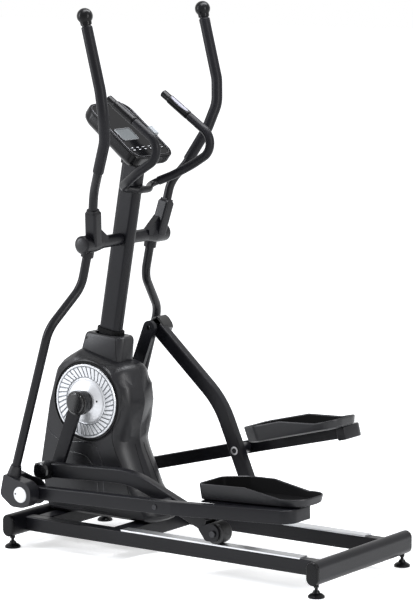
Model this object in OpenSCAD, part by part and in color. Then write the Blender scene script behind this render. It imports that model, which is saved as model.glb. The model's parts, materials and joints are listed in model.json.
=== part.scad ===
// Front-drive elliptical trainer with moving handles, solved as a closed four-bar linkage.
// Frame: +X towards the rear (user's end), +Y the user's right, +Z up, floor at Z = 0.

/* [Base] */
// Distance between the front and the rear stabiliser tube
base_l = 1140; // [1060:1:1300]
// Length of a stabiliser tube over its end caps
stab_l = 530; // [500:1:640]
// Height of the stabiliser section
stab_h = 71.4; // [66:0.1:84]
// Thickness of the stabiliser section
stab_t = 42; // [36:1:50]
// Height of the stabiliser's middle above the floor
stab_z = 73.3; // [70:0.1:80]
// Wall of the steel tubes
tube_wall = 2; // [1.5:0.5:3]
// Length of the plastic cap on each stabiliser end
cap_l = 12; // [8:1:20]
// Distance from the centre plane to a levelling foot
foot_y = 238; // [220:1:245]
// Diameter of a levelling foot's pad
foot_d = 50; // [40:1:58]
// Diameter of a levelling foot's stud
stud_d = 10; // [8:1:12]
// Distance from the centre plane to a rail's middle
rail_y = 178.7; // [172:0.1:190]
// Width of a rail
rail_w = 40; // [36:1:44]
// Height of a rail
rail_h = 46; // [40:1:50]
// Height of a rail's middle above the floor
rail_z = 72; // [68:1:76]
// Thickness of the aluminium roller track
track_t = 5; // [3:1:6]
// Length of the roller track
track_l = 659; // [600:1:700]
// Distance from the front stabiliser to the start of the roller track
track_start = 397; // [370:1:420]

/* [Mast] */
// Long side of the oval mast tube
mast_l = 80; // [70:1:90]
// Short side of the oval mast tube
mast_w = 40; // [34:1:44]
// Rearward lean of the mast from the vertical
mast_lean = 10.1; // [6:0.1:14]
// Distance from the handle pivot up to the mast's top end
mast_up = 270; // [250:1:290]
// Height of the joint in the mast above the crank axle
joint_rise = 209.5; // [200:0.5:220]
// Distance from the handle pivot up the mast to the fixed handlebar's seat
bar_up = 169; // [150:1:185]

/* [Drive] */
// Distance from the front stabiliser to the crank axle
crank_from_front = 182.4; // [175:0.1:195]
// Height of the crank axle
crank_z = 463; // [450:1:475]
// Distance from the crank axle to a crank pin
crank_r = 226.9; // [200:0.1:235]
// Direction of the left crank arm at rest
crank_angle = -111.35; // [-125:0.05:-95]
// Width of a crank arm
crank_w = 44; // [36:1:50]
// Thickness of a crank arm
crank_t = 14; // [10:1:16]
// Distance from the centre plane to a crank arm's outer face
crank_y = 142; // [138:1:146]
// Diameter of the crank axle
axle_d = 20; // [17:1:25]
// Radius of the silver cover disc
disc_r = 117; // [105:1:122]
// Number of ribs round the cover disc
disc_ribs = 40; // [24:1:60]
// Diameter of the hub cap
hub_d = 78; // [70:1:86]
// Radius of the large belt pulley
pulley_r = 108; // [90:1:112]
// Radius of the small belt pulley
small_pulley_r = 27; // [20:1:32]
// Height of the flywheel's axle
fly_z = 238; // [232:1:250]
// Radius of the flywheel
flywheel_r = 112; // [95:1:116]
// Width of the flywheel
flywheel_w = 24; // [16:1:28]
// Width of the drive belt
belt_w = 12; // [8:1:14]
// Half of the drive housing's width
case_y = 86; // [84:1:87]
// Wall of the plastic covers
cover_wall = 3; // [2:0.5:4]

/* [Linkage] */
// Distance from the front stabiliser to the handle pivot
pivot_from_front = 265.7; // [255:0.1:280]
// Height of the handle pivot
pivot_z = 970.8; // [950:0.1:990]
// Swing arm's foot pivot, forward of the handle pivot
swing_fore = 175.7; // [160:0.1:190]
// Height of the swing arm's foot pivot
foot_pin_z = 190.7; // [180:0.1:200]
// Pedal arm, from the swing pivot to the connecting arm's pivot
pedal_l = 485.7; // [470:0.1:500]
// Connecting arm, from the crank pin to the pedal pivot
link_l = 478.1; // [460:0.1:490]
// Connecting arm, from the pedal pivot to the roller
roller_l = 190.1; // [180:0.1:200]
// Downward bend of the connecting arm at the pedal pivot
link_bend = 16.24; // [12:0.01:20]
// Diameter of a roller
roller_d = 66.8; // [60:0.1:72]
// Width of a roller
roller_w = 50; // [44:1:52]
// Height of the connecting arm's tube
link_h = 45; // [38:1:50]
// Width of the connecting arm's tube
link_w = 32; // [28:1:34]
// Distance from the centre plane to the connecting arm's middle
link_y = 176; // [174:1:178]
// Diameter of the pins in the linkage
pin_d = 16; // [12:1:20]

/* [Pedals] */
// Height of the pedal arm's tube
pedal_h = 41.2; // [36:0.1:44]
// Width of the pedal arm's tube
pedal_w = 31; // [28:1:31]
// Distance from the centre plane to the pedal arm's middle
pedal_y = 250; // [250:1:251]
// Distance from the pedal pivot back to the pedal arm's tail
tail_l = 458; // [440:1:470]
// Width of a footplate
plate_w = 178; // [160:1:182]
// Distance from the centre plane to a footplate's middle
plate_y = 116; // [114:1:118]
// Distance from the pedal pivot back to the footplate's toe
plate_toe = 115; // [110:1:130]
// Length of a footplate
plate_l = 363; // [340:1:375]
// Height of a footplate's wall at the toe
plate_h = 53; // [44:1:60]
// Height of a footplate's wall at the heel
heel_h = 28; // [22:1:36]

/* [Handles] */
// Diameter of the handle and swing arm tubes
handle_d = 28; // [25:1:30]
// Diameter of the foam on the handles
foam_d = 35; // [32:1:40]
// Diameter of the ball on a handle's end
ball_d = 48; // [42:1:54]
// Diameter of the pivot sleeve at its outer end
sleeve_d = 56; // [50:1:60]
// Distance from the centre plane to the pivot sleeve's outer end
sleeve_y = 214; // [208:1:218]
// Diameter of the fixed handlebar's tube
bar_d = 22; // [20:1:26]
// Diameter of the foam on the fixed handlebar
bar_foam_d = 28; // [26:1:34]

/* [Console] */
// Width of the console
console_w = 204; // [180:1:215]
// Length of the console's face
console_l = 256; // [235:1:270]
// Thickness of the console
console_t = 46; // [40:1:52]
// Slope of the console's face from the horizontal
console_tilt = 38.6; // [30:0.1:45]

/* [Hidden] */
left = -1;
right = 1;
// Radial clearance of a shaft in its bore, and gap between pieces that slide past each other
bore_gap = 0.05;
slide_gap = 0.3;
// Length of a bore or cut that passes right through
through = 400;
// Sides of a swept tube, and turn of each flat step in its bends
tube_sides = 14;
step_turn = 15;
$fn = 48;

front_x = -base_l / 2;
rail_top = rail_z + rail_h / 2;
track_top = rail_top + track_t;
crank = [front_x + crank_from_front, 0, crank_z];
pivot = [front_x + pivot_from_front, 0, pivot_z];
mast_down = (pivot_z - crank_z - joint_rise) / cos(mast_lean);
swing_drop = pivot_z - foot_pin_z;
roller_gap = 0.2;
roller_z = track_top + roller_d / 2 + roller_gap;

// ---- Linkage: each side's joints follow from the crank angle and the arm lengths ----
function dir(a) = [cos(a), 0, sin(a)];
function angle_of(v) = atan2(v.z, v.x);
link_end = [link_l + roller_l * cos(link_bend), 0, -roller_l * sin(link_bend)];
function crank_direction(side) = crank_angle + (side == left ? 0 : 180);
function crank_pin(side) = crank + crank_r * dir(crank_direction(side));
function link_angle(side) =
    asin((roller_z - crank_pin(side).z) / norm(link_end)) - angle_of(link_end);
function pedal_pivot(side) = crank_pin(side) + link_l * dir(link_angle(side));
swing_reach = norm([swing_fore, swing_drop]);
// The swing arm's foot is where the circle of the swing arm meets the circle of the pedal arm
function swing_foot(side) =
    let (to_pedal = pedal_pivot(side) - pivot,
         d = norm(to_pedal),
         along = (swing_reach ^ 2 - pedal_l ^ 2 + d ^ 2) / (2 * d),
         across = sqrt(swing_reach ^ 2 - along ^ 2),
         u = to_pedal / d)
    pivot + along * u + across * [u.z, 0, -u.x];
function swing_angle(side) =
    angle_of(swing_foot(side) - pivot) - angle_of([-swing_fore, 0, -swing_drop]);
function pedal_angle(side) = angle_of(pedal_pivot(side) - swing_foot(side));

// Each places a right-hand piece on one side of the machine, in its own arm's frame
module on_side(side) mirror([0, side == left ? 1 : 0, 0]) children();
module in_crank(side)
    on_side(side) translate(crank) rotate([0, -crank_direction(side), 0]) children();
module in_link(side)
    on_side(side) translate(crank_pin(side)) rotate([0, -link_angle(side), 0]) children();
module in_pedal(side)
    on_side(side) translate(pedal_pivot(side)) rotate([0, -pedal_angle(side), 0]) children();
module in_swing(side)
    on_side(side) translate(pivot) rotate([0, -swing_angle(side), 0]) children();
module in_mast() translate(pivot) rotate([0, mast_lean, 0]) children();

// ---- Shapes that repeat ----
// Cylinder along +Y from y0 to y1
module rod_y(d, y0, y1) translate([0, y0, 0]) rotate([-90, 0, 0]) cylinder(d = d, h = y1 - y0);
module bore_y(d, y0, y1) rod_y(d + 2 * bore_gap, y0, y1);
// Outline of an oval tube, l long and w wide
module oval(l, w) {
    square([l - w, w], center = true);
    for (s = [-1, 1]) translate([s * (l - w) / 2, 0]) circle(d = w);
}
// Oval tube along +Z
module oval_tube(l, w, h, wall) {
    linear_extrude(h) difference() {
        oval(l, w);
        oval(l - 2 * wall, w - 2 * wall);
    }
}
// Revolved outline of [radius, y] points about the Y axis
module turned_y(outline) rotate([-90, 0, 0]) rotate_extrude() polygon(outline);
// Box from one corner to the opposite one
module block(a, b) translate(a) cube(b - a);

function unit(v) = v / norm(v);
function lerp(a, b, t) = a + (b - a) * t;
function clamp01(t) = max(0, min(1, t));
// Outline with round corners, from [x, y, corner radius] points
function rounded(p, steps = 4) = [
    for (i = [0 : len(p) - 1])
        let (n = len(p), c = [p[i].x, p[i].y],
             u = unit([p[(i + n - 1) % n].x, p[(i + n - 1) % n].y] - c),
             v = unit([p[(i + 1) % n].x, p[(i + 1) % n].y] - c),
             half = acos(u * v) / 2, m = c + unit(u + v) * p[i].z / sin(half),
             a = atan2((c + u * p[i].z / tan(half) - m).y, (c + u * p[i].z / tan(half) - m).x),
             b = atan2((c + v * p[i].z / tan(half) - m).y, (c + v * p[i].z / tan(half) - m).x),
             sweep_angle = ((b - a + 540) % 360) - 180)
        for (k = [0 : steps]) m + p[i].z * [cos(a + sweep_angle * k / steps),
                                            sin(a + sweep_angle * k / steps)]
];
// Rectangle with round corners, as points, about its middle
function rounded_box(l, w, r, steps = 4) =
    rounded([[l / 2, w / 2, r], [-l / 2, w / 2, r], [-l / 2, -w / 2, r], [l / 2, -w / 2, r]], steps);
// Oval, l long and w wide, as points
function oval_points(l, w, steps = 10) = [
    for (s = [1, -1]) for (k = [0 : steps])
        let (a = 180 * k / steps - 90) s * [(l - w) / 2 + w / 2 * cos(a), w / 2 * sin(a)]
];
// Outline moved outwards by d; the outline runs anticlockwise
function grown(p, d) = [
    for (i = [0 : len(p) - 1])
        let (n = len(p), u = unit(p[(i + 1) % n] - p[(i + n - 1) % n])) p[i] + d * [u.y, -u.x]
];
// Outline with a point added wherever it crosses x
function split_at(p, x) = [
    for (i = [0 : len(p) - 1])
        let (a = p[i], b = p[(i + 1) % len(p)])
        for (q = (a.x - x) * (b.x - x) < -1 ? [a, lerp(a, b, (x - a.x) / (b.x - a.x))] : [a]) q
];
function backwards(p) = [for (i = [len(p) - 1 : -1 : 0]) p[i]];
// Path through p with bends of radius r, or of the radii in the list r
function bent(p, r) = concat([p[0]], [
    for (i = [1 : len(p) - 2])
        let (u = unit(p[i] - p[i - 1]), v = unit(p[i + 1] - p[i]), turn = acos(u * v),
             steps = max(2, ceil(turn / step_turn)), q = is_list(r) ? r[i - 1] : r,
             side = unit(v - u * (u * v)), c = p[i] - u * q * tan(turn / 2) + side * q)
        for (k = [0 : steps]) c + q * (u * sin(turn * k / steps) - side * cos(turn * k / steps))
], [p[len(p) - 1]]);
function tangent(p, i) =
    unit((i == 0 ? [0, 0, 0] : unit(p[i] - p[i - 1]))
         + (i == len(p) - 1 ? [0, 0, 0] : unit(p[i + 1] - p[i])));
function carried(p, i, n) =
    i == len(p) ? []
    : let (t = tangent(p, i), m = unit(n - t * (n * t))) concat([m], carried(p, i + 1, m));
function circle_points(d, sides = tube_sides) =
    [for (k = [0 : sides - 1]) d / 2 * [cos(360 * k / sides), sin(360 * k / sides)]];
// Skin over a stack of rings that each have m points; open_ring joins the last ring to the first
module skin(rings, open_ring = false) {
    m = len(rings[0]);
    n = len(rings);
    polyhedron(
        points = [for (r = rings) each r],
        faces = concat(
            [for (i = [0 : n - (open_ring ? 1 : 2)]) for (k = [0 : m - 1])
                [i * m + k, (i + 1) % n * m + k, (i + 1) % n * m + (k + 1) % m, i * m + (k + 1) % m]],
            open_ring ? [] : [[for (k = [0 : m - 1]) k], [for (k = [0 : m - 1]) n * m - 1 - k]]),
        convexity = 8);
}
function swept_rings(path, section, up) =
    let (normals = carried(path, 0, up))
    [for (i = [0 : len(path) - 1])
        [for (q = section) path[i] + q.x * normals[i] + q.y * cross(tangent(path, i), normals[i])]];
// Section of 2D points carried along a path; up points along the section's x
module swept(path, section, up) skin(swept_rings(path, section, up));
// Sleeve of outer diameter d round a path, with a bore for a tube of diameter inner
module swept_sleeve(path, d, inner, up)
    skin(concat(swept_rings(path, circle_points(d), up),
                backwards(swept_rings(path, circle_points(inner / cos(180 / tube_sides)), up))),
         open_ring = true);

// ---- Base ----
module stabiliser(x)
    color("black") translate([x, stab_l / 2 - cap_l, stab_z]) rotate([90, 90, 0])
        difference() {
            oval_tube(stab_h, stab_t, stab_l - 2 * cap_l, tube_wall);
            for (s = [-1, 1])
                translate([0, 0, stab_l / 2 - cap_l + s * foot_y]) rotate([0, 90, 0])
                    cylinder(d = stud_d + 2 * slide_gap, h = stab_h);
        }
module front_stabiliser() stabiliser(front_x);
module rear_stabiliser() stabiliser(-front_x);

module stabiliser_caps()
    color("dimgray") for (x = [front_x, -front_x]) for (side = [left, right])
        on_side(side) translate([x, stab_l / 2 - cap_l, stab_z]) rotate([-90, 90, 0]) {
            skin([for (q = [[0, 0], [cap_l - 5, 0], [cap_l - 1.5, 2], [cap_l, 6]])
                [for (p = oval_points(stab_h - 2 * q.y, stab_t - 2 * q.y)) [p.x, p.y, q.x]]]);
        }

module levelling_feet()
    color("black") for (x = [front_x, -front_x]) for (s = [-1, 1]) translate([x, s * foot_y, 0]) {
        rotate_extrude() polygon([[0, 0], [foot_d / 2, 0], [foot_d / 2, 5], [foot_d / 2 - 5, 10],
                                  [12, 14], [9, 21], [0, 21]]);
        translate([0, 0, 21]) cylinder(d = stud_d, h = stab_z - 21);
        translate([0, 0, stab_z - stab_h / 2 - 7]) difference() {
            cylinder(d = 18, h = 6.8, $fn = 6);
            cylinder(d = stud_d - 0.5, h = 20, center = true);
        }
    }

module base_rails()
    color("black") for (s = [-1, 1]) translate([front_x + stab_t / 2, s * rail_y, rail_z])
        rotate([0, 90, 0]) linear_extrude(base_l - stab_t) difference() {
            polygon(rounded_box(rail_h, rail_w, 5));
            polygon(rounded_box(rail_h - 2 * tube_wall, rail_w - 2 * tube_wall, 3));
        }

module roller_tracks()
    color("silver") for (s = [-1, 1])
        translate([front_x + track_start, s * rail_y, rail_top]) rotate([0, 90, 0]) rotate([0, 0, 90])
            linear_extrude(track_l)
                polygon(rounded([[rail_w / 2, 0, 0.1], [rail_w / 2, track_t, 2],
                                 [-rail_w / 2, track_t, 2], [-rail_w / 2, 0, 0.1]], 2));

cross_l = 2 * (rail_y - rail_w / 2);
front_cross_x = 65;
front_cross_w = 50;
mid_cross_x = 370;
mid_cross_w = 60;
bed_w = 100;
bed_h = 22;
bed_wall = 4;
module crossmembers() color("black") {
    for (q = [[front_cross_x, front_cross_w], [mid_cross_x, mid_cross_w]])
        translate([front_x + q.x, cross_l / 2, rail_z]) rotate([90, 0, 0])
            linear_extrude(cross_l) difference() {
                polygon(rounded_box(q.y, rail_h, 4));
                polygon(rounded_box(q.y - 2 * tube_wall, rail_h - 2 * tube_wall, 3));
            }
    translate([front_x + front_cross_x - front_cross_w / 2, 0, rail_top]) rotate([90, 0, 90])
        linear_extrude(mid_cross_x - front_cross_x + (front_cross_w + mid_cross_w) / 2) difference() {
            translate([-bed_w / 2, 0]) square([bed_w, bed_h]);
            translate([bed_wall - bed_w / 2, -1]) square([bed_w - 2 * bed_wall, bed_h + 1 - bed_wall]);
        }
}

// ---- Mast ----
post_foot = (rail_top + bed_h - pivot_z) / cos(mast_lean);
fly_down = (fly_z - pivot_z) / cos(mast_lean);
shell_half = 34;
bearing_od = 47;
bearing_w = 12;
fly_axle_d = 15;
fly_bearing_od = 35;
crank_boss_wall = 7;
fly_boss_wall = 6;
// A point of the machine in the mast's leaning frame
function to_mast(p) = let (v = p - pivot)
    [v.x * cos(mast_lean) - v.z * sin(mast_lean), 0, v.x * sin(mast_lean) + v.z * cos(mast_lean)];
function from_mast(p) = pivot + [p.x * cos(mast_lean) + p.z * sin(mast_lean), p.y,
                                 p.z * cos(mast_lean) - p.x * sin(mast_lean)];
crank_in_mast = to_mast(crank);
// The fixed handlebar lies in a welded saddle on the mast's rear face
saddle_t = 2;
bar_in_mast = [mast_l / 2 + saddle_t + bar_d / 2, 0, bar_up];
module main_post() color("black") in_mast() difference() {
    union() {
        translate([0, 0, post_foot + mast_l * sin(mast_lean) / 2])
            linear_extrude(-mast_down - post_foot - mast_l * sin(mast_lean) / 2) oval(mast_l, mast_w);
        translate(crank_in_mast) rod_y(bearing_od + 2 * crank_boss_wall, -shell_half, shell_half);
        translate([0, 0, fly_down])
            rod_y(fly_bearing_od + 2 * fly_boss_wall, -mast_w / 2 - 4, mast_w / 2 + 4);
        translate(to_mast(idler) - idler_plate / 2) translate([0, mast_w / 2 + 6, 0]) rotate([90, 0, 0])
            linear_extrude(6.5) oval(norm(idler_plate) + 30, 30);
        translate(to_mast(idler)) rod_y(idler_pin_d, mast_w / 2, pulley_y + belt_w + 3);
    }
    translate(crank_in_mast) {
        rod_y(axle_d + 6, -shell_half - 1, shell_half + 1);
        for (side = [left, right]) on_side(side)
            rod_y(bearing_od, shell_half - bearing_w, shell_half + 1);
    }
    translate([0, 0, fly_down]) rod_y(fly_bearing_od, -mast_w, mast_w);
}

module mast() color("black") in_mast() difference() {
    union() {
        translate([0, 0, -mast_down]) oval_tube(mast_l, mast_w, mast_up + mast_down, tube_wall + 0.5);
        translate(bar_in_mast) block([-bar_d / 2 - saddle_t - 1, -12, -9], [-2, 12, 9]);
    }
    rod_y(swing_axle_d + 2 * bore_gap, -mast_w, mast_w);
    translate(bar_in_mast) bore_y(bar_d, -mast_w, mast_w);
}

module mast_collar() color("black") in_mast() translate([0, 0, -mast_down])
    linear_extrude(12) difference() {
        oval(mast_l + 14, mast_w + 14);
        oval(mast_l + 0.4, mast_w + 0.4);
    }

// ---- Drive housing ----
// Side outline as [x, z, corner radius] from the crank axle, anticlockwise
shoulder = [[112, 112], [-48, 160]];
case_outline = rounded([
    [-165, -367, 25], [250, -367, 18], [176, -268, 60], [110, -120, 120], [140, 4, 80],
    [shoulder[0].x, shoulder[0].y, 40], [shoulder[1].x, shoulder[1].y, 30], [-122, 118, 70],
    [-160, -20, 130], [-197, -220, 70]
]);
function case_ring(y, inset, bulge, drop) = [
    for (p = backwards(grown(case_outline, -inset)))
        [p.x + bulge * clamp01(p.x / 90), y, p.y - drop * clamp01((p.y - 60) / 100)]
];
bulge = 24;
// Half shell from the centre plane outwards, its face moved out by clearance
module case_half(clearance = 0)
    skin([for (q = [[clearance > 0 ? -0.01 : 0, 0, 1, 0], [0.45, 0, 0.8, 0], [0.7, 1, 0.4, 8],
                    [0.9, 4, 0.1, 22], [1, 12, 0, 38]])
        case_ring(q[0] * case_y + (q[0] > 0 ? clearance : 0), q[1] - clearance, q[2] * bulge, q[3])]);
// Stepped relief in the side's lower front, each outline [x, z, corner radius]
relief = [
    [[-200, -350, 1], [118, -350, 1], [84, -254, 60], [64, -204, 40], [38, -132, 16],
     [-12, -131, 20], [-80, -112, 30], [-190, -60, 20]],
    [[-200, -350, 1], [76, -350, 1], [43, -258, 40], [25, -206, 20], [6, -180, 12], [-40, -177, 20],
     [-100, -158, 30], [-200, -110, 20]],
    [[-200, -350, 1], [48, -350, 1], [15, -260, 30], [-8, -205, 12], [-50, -196, 20],
     [-110, -180, 30], [-200, -140, 20]]
];
relief_step = 1.6;
// Length of the hole round the post below the joint in the mast
post_in_case = 120;
// Ridge down the rear corner as [height, x, half length, half width]
ridge = [[-146, 92, 15, 14], [-138, 93, 30, 27], [-118, 95, 38, 37], [-60, 104, 42, 41.8],
         [0, 112, 42, 41.8], [50, 106, 42, 41.8], [92, 82, 40, 41], [117, 50, 28, 34]];
module half_case() difference() {
    union() {
        case_half();
        turned_y([[disc_r + 2, case_y - 6], [disc_r + 15, case_y - 6], [disc_r + 13, case_y + 1],
                  [disc_r + 9, case_y + 3.5], [disc_r + 4, case_y + 3]]);
        skin([for (q = ridge) [for (p = circle_points(2, 20))
            [q[1] + q[2] * p.x, case_y / 2 - 0.5 + q[3] * p.y, q[0]]]]);
    }
    skin([for (q = [[-0.01, 1, 1, 0], [0.45, 1, 0.8, 0], [0.7, 2, 0.4, 8], [0.88, 6, 0.1, 24]])
        case_ring(q[0] * case_y, q[1] + cover_wall, q[2] * bulge, q[3])]);
    for (i = [0 : len(relief) - 1]) translate([0, case_y + 9, 0]) rotate([90, 0, 0])
        linear_extrude(9 + (i + 1) * relief_step) polygon(rounded(relief[i], 3));
    rod_y(axle_d + 30, 0, through);
    block([-160, -1, -380], [225, case_y - 8, -350]);
    translate(pivot - crank) rotate([0, mast_lean, 0])
        translate([0, 0, -mast_down - post_in_case])
            linear_extrude(post_in_case + 60) oval(mast_l + 6, mast_w + 6);
}
module left_housing() color("black") on_side(left) translate(crank) half_case();
module right_housing() color("black") on_side(right) translate(crank) half_case();

// Neck cover from the housing's sloping shoulder up to the joint in the mast
neck_base = rounded([[92, 44, 24], [-62, 44, 16], [-62, -44, 16], [92, -44, 24]], 5);
neck_head = rounded([[104, 38, 22], [-44, 38, 14], [-44, -38, 14], [104, -38, 22]], 5);
// Height of the shoulder and of the cover's top at x
function shoulder_z(x) =
    lerp(shoulder[1].y, shoulder[0].y, (x - shoulder[1].x) / (shoulder[0].x - shoulder[1].x));
function neck_top_z(x) = joint_rise - 2 - 0.07 * x;
function neck_ring(t, inset, below = 0) = [
    for (i = [0 : len(neck_base) - 1])
        let (p = lerp(grown(neck_base, -inset)[i], grown(neck_head, -inset)[i], t))
        [p.x, p.y, lerp(shoulder_z(p.x) - 18 - below, neck_top_z(p.x), t)]
];
groove_down = 19.5;
groove_l = 90;
module neck_cover() color("black") difference() {
    translate(crank) difference() {
        skin([neck_ring(0, 0), neck_ring(0.86, 0), neck_ring(0.95, 2.5), neck_ring(1, 8)]);
        skin([neck_ring(0, 4, 2), neck_ring(0.88, 4)]);
        for (side = [left, right]) on_side(side) {
            case_half(slide_gap);
            translate([86, 46.5, joint_rise - groove_down - groove_l]) cylinder(r = 4, h = groove_l);
        }
    }
    in_mast() {
        translate([0, 0, -mast_down - 90]) linear_extrude(90) oval(mast_l + 24, mast_w + 24);
        translate([0, 0, -mast_down - 1]) linear_extrude(90) oval(mast_l + 16, mast_w + 16);
    }
}

// ---- Drive ----
pulley_y = 42;
fly_y = -30;
fly = pivot + [fly_down * sin(mast_lean), 0, fly_down * cos(mast_lean)];
module drive_bearings() color("silver") {
    for (s = [-1, 1]) translate(crank) difference() {
        rod_y(bearing_od, min(s * (shell_half - bearing_w), s * shell_half),
              max(s * (shell_half - bearing_w), s * shell_half));
        bore_y(axle_d, -through, through);
    }
    for (s = [-1, 1]) translate(fly) difference() {
        rod_y(fly_bearing_od, min(s * 10, s * 22), max(s * 10, s * 22));
        bore_y(fly_axle_d, -through, through);
    }
}
module drive_pulley() color("dimgray") translate(crank) difference() {
    union() {
        rod_y(2 * pulley_r, pulley_y, pulley_y + belt_w);
        rod_y(50, pulley_y - 6, pulley_y + belt_w + 10);
    }
    for (i = [0 : 5]) rotate([0, 60 * i, 0]) translate([pulley_r * 0.62, 0, 0])
        rod_y(pulley_r * 0.42, 0, through);
    rod_y(axle_d, 0, through);
}
module flywheel() color("gray") translate(fly) {
    rod_y(2 * flywheel_r, fly_y - flywheel_w, fly_y);
    rod_y(fly_axle_d, fly_y - flywheel_w - 8, pulley_y + belt_w + 4);
    rod_y(2 * small_pulley_r, pulley_y, pulley_y + belt_w);
}
belt_t = 2;
module drive_belt() color("black") translate([0, pulley_y + belt_w, 0]) rotate([90, 0, 0])
    linear_extrude(belt_w) difference() {
        hull() {
            translate([crank.x, crank.z]) circle(r = pulley_r + slide_gap + belt_t);
            translate([fly.x, fly.z]) circle(r = small_pulley_r + slide_gap + belt_t);
        }
        hull() {
            translate([crank.x, crank.z]) circle(r = pulley_r + slide_gap);
            translate([fly.x, fly.z]) circle(r = small_pulley_r + slide_gap);
        }
    }
idler_r = 24;
idler_pin_d = 8;
// The idler presses on the belt's rear run, midway between the pulleys
belt_dir = unit(fly - crank);
belt_tilt = asin((pulley_r - small_pulley_r) / norm(fly - crank));
run_normal = [cos(angle_of(belt_dir) + 90 - belt_tilt), 0, sin(angle_of(belt_dir) + 90 - belt_tilt)];
idler = lerp(crank + run_normal * pulley_r, fly + run_normal * small_pulley_r, 0.6)
        + run_normal * (belt_t + 2 * slide_gap + idler_r);
idler_plate = [to_mast(idler).x, 0, 0];
module idler_wheel() color("dimgray") translate(idler) difference() {
    rod_y(2 * idler_r, pulley_y - 1, pulley_y + belt_w + 1);
    bore_y(idler_pin_d, 0, through);
}
// Magnets on an arc round the flywheel's rim, carried by a plate on the post's side
module magnet_brake() color("gray") translate(fly) rotate([0, mast_lean, 0]) {
    for (a = [-20, 5, 30]) rotate([0, -a, 0])
        block([flywheel_r + 3, fly_y - flywheel_w + 2, -12], [flywheel_r + 12, fly_y - 2, 12]);
    rotate([90, 0, 0]) translate([0, 0, mast_w / 2]) rotate([0, 0, -32])
        rotate_extrude(angle = 74) translate([flywheel_r + 11, 0])
            square([4, flywheel_w - fly_y - 2 - mast_w / 2]);
    block([-15, -mast_w / 2 - 7, 28], [flywheel_r + 7, -mast_w / 2, 52]);
}

module crank_axle() color("silver") translate(crank) rod_y(axle_d, 1 - crank_y, crank_y - 1);
module crank_arm() color("black") difference() {
    translate([crank_r / 2, crank_y, 0]) rotate([90, 0, 0])
        linear_extrude(crank_t) oval(crank_r + crank_w, crank_w);
    rod_y(axle_d, 0, through);
    translate([crank_r, 0, 0]) rod_y(pin_d, 0, through);
}
module left_crank() in_crank(left) crank_arm();
module right_crank() in_crank(right) crank_arm();

cap_in = 118;
cap_out = 149.5;
module hub_caps() color("black") for (side = [left, right]) in_crank(side) difference() {
    turned_y([[0, cap_in], [hub_d / 2 - 2, cap_in], [hub_d / 2, cap_in + 2], [hub_d / 2, cap_out - 9],
              [hub_d / 2 - 2, cap_out - 7], [hub_d / 2 - 5, cap_out - 7], [hub_d / 2 - 6, cap_out - 2],
              [hub_d / 2 - 9, cap_out], [0, cap_out]]);
    translate([crank_r / 2, crank_y, 0]) rotate([90, 0, 0])
        linear_extrude(crank_t) oval(crank_r + crank_w, crank_w);
    rod_y(axle_d, 0, crank_y);
}

disc_y = 88;
module crank_discs() color("silver") for (side = [left, right]) in_crank(side) difference() {
    union() {
        turned_y([[0, disc_y], [disc_r, disc_y], [disc_r, disc_y + 2], [disc_r - 3, disc_y + 4.5],
                  [disc_r * 0.94, disc_y + 4.5], [disc_r * 0.92, disc_y + 2],
                  [disc_r * 0.66, disc_y + 2], [disc_r * 0.62, disc_y + 4], [30, disc_y + 5],
                  [24, disc_y + 12], [24, cap_in], [0, cap_in]]);
        translate([0, disc_y + 4, 0]) rotate([90, 0, 0]) linear_extrude(2.5)
            for (i = [0 : disc_ribs - 1]) rotate(360 / disc_ribs * i)
                translate([disc_r * 0.63, -1.8]) square([disc_r * 0.30, 3.6]);
    }
    rod_y(axle_d, 0, through);
}

// ---- Swing arms and handles, in the swing arm's frame about the pivot ----
swing_axle_d = 20;
module swing_axle() color("silver") translate(pivot) rod_y(swing_axle_d, 10 - sleeve_y, sleeve_y - 10);
module frame_bolts() color("gray") for (side = [left, right]) on_side(side) translate(pivot) {
    rod_y(34, sleeve_y - 10, sleeve_y - 8);
    translate([0, sleeve_y - 8, 0]) rotate([-90, 0, 0]) cylinder(d = 17, h = 5, $fn = 6);
}

socket_foot = [10, 164, 0];
socket_top = [29.4, 191.5, 109];
socket_l = 42;
socket_w = 38;
web_t = 24;
tube_seat = 55;
foot_at = [-swing_fore, 0, -swing_drop];
tube_out = 279.2;
// The swing tube runs from the sleeve's collar through two bends to the foot cover
tube_top = [-15, 161, -24];
tube_bend = [[-41.1, 162, -135.8], [-78.7, tube_out, -257.4]];
tube_end = foot_at + [-48.1, tube_out, 48.1];
module swing_sleeve() color("black") difference() {
    union() {
        turned_y([[0, mast_w / 2 + 1], [19, mast_w / 2 + 1], [20, 110], [27, 150], [sleeve_d / 2, 170],
                  [sleeve_d / 2, sleeve_y - 5], [sleeve_d / 2 - 5, sleeve_y], [0, sleeve_y]]);
        skin(concat(
            swept_rings([socket_foot, lerp(socket_foot, socket_top, 0.9)],
                        rounded_box(socket_l, socket_w, 8, 3), [1, 0, 0]),
            swept_rings([lerp(socket_foot, socket_top, 0.96), socket_top],
                        rounded_box(socket_l - 8, socket_w - 8, 7, 3), [1, 0, 0])));
        // Web between the sleeve and the socket
        translate([socket_foot.x - web_t / 2, 0, 0]) rotate([90, 0, 90]) linear_extrude(web_t)
            polygon([[105, 0], [105, 18], [socket_foot.y, 60], [socket_foot.y + 20, 60],
                     [socket_foot.y + 20, 0]]);
        swept([lerp(tube_top, tube_bend[0], -0.05), lerp(tube_top, tube_bend[0], 0.16)],
              circle_points(handle_d + 12, 24), [1, 0, 0]);
    }
    bore_y(swing_axle_d, 0, sleeve_y - 10);
    rod_y(36, sleeve_y - 10.5, sleeve_y - 2.5);
    swept([lerp(socket_foot, socket_top, 0.42), lerp(socket_foot, socket_top, 1.1)],
          circle_points(handle_d + 0.4), [1, 0, 0]);
    swept([tube_top, lerp(tube_top, tube_bend[0], 0.4)], circle_points(handle_d + 0.4), [1, 0, 0]);
}
module left_swing_sleeve() in_swing(left) swing_sleeve();
module right_swing_sleeve() in_swing(right) swing_sleeve();

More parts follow.
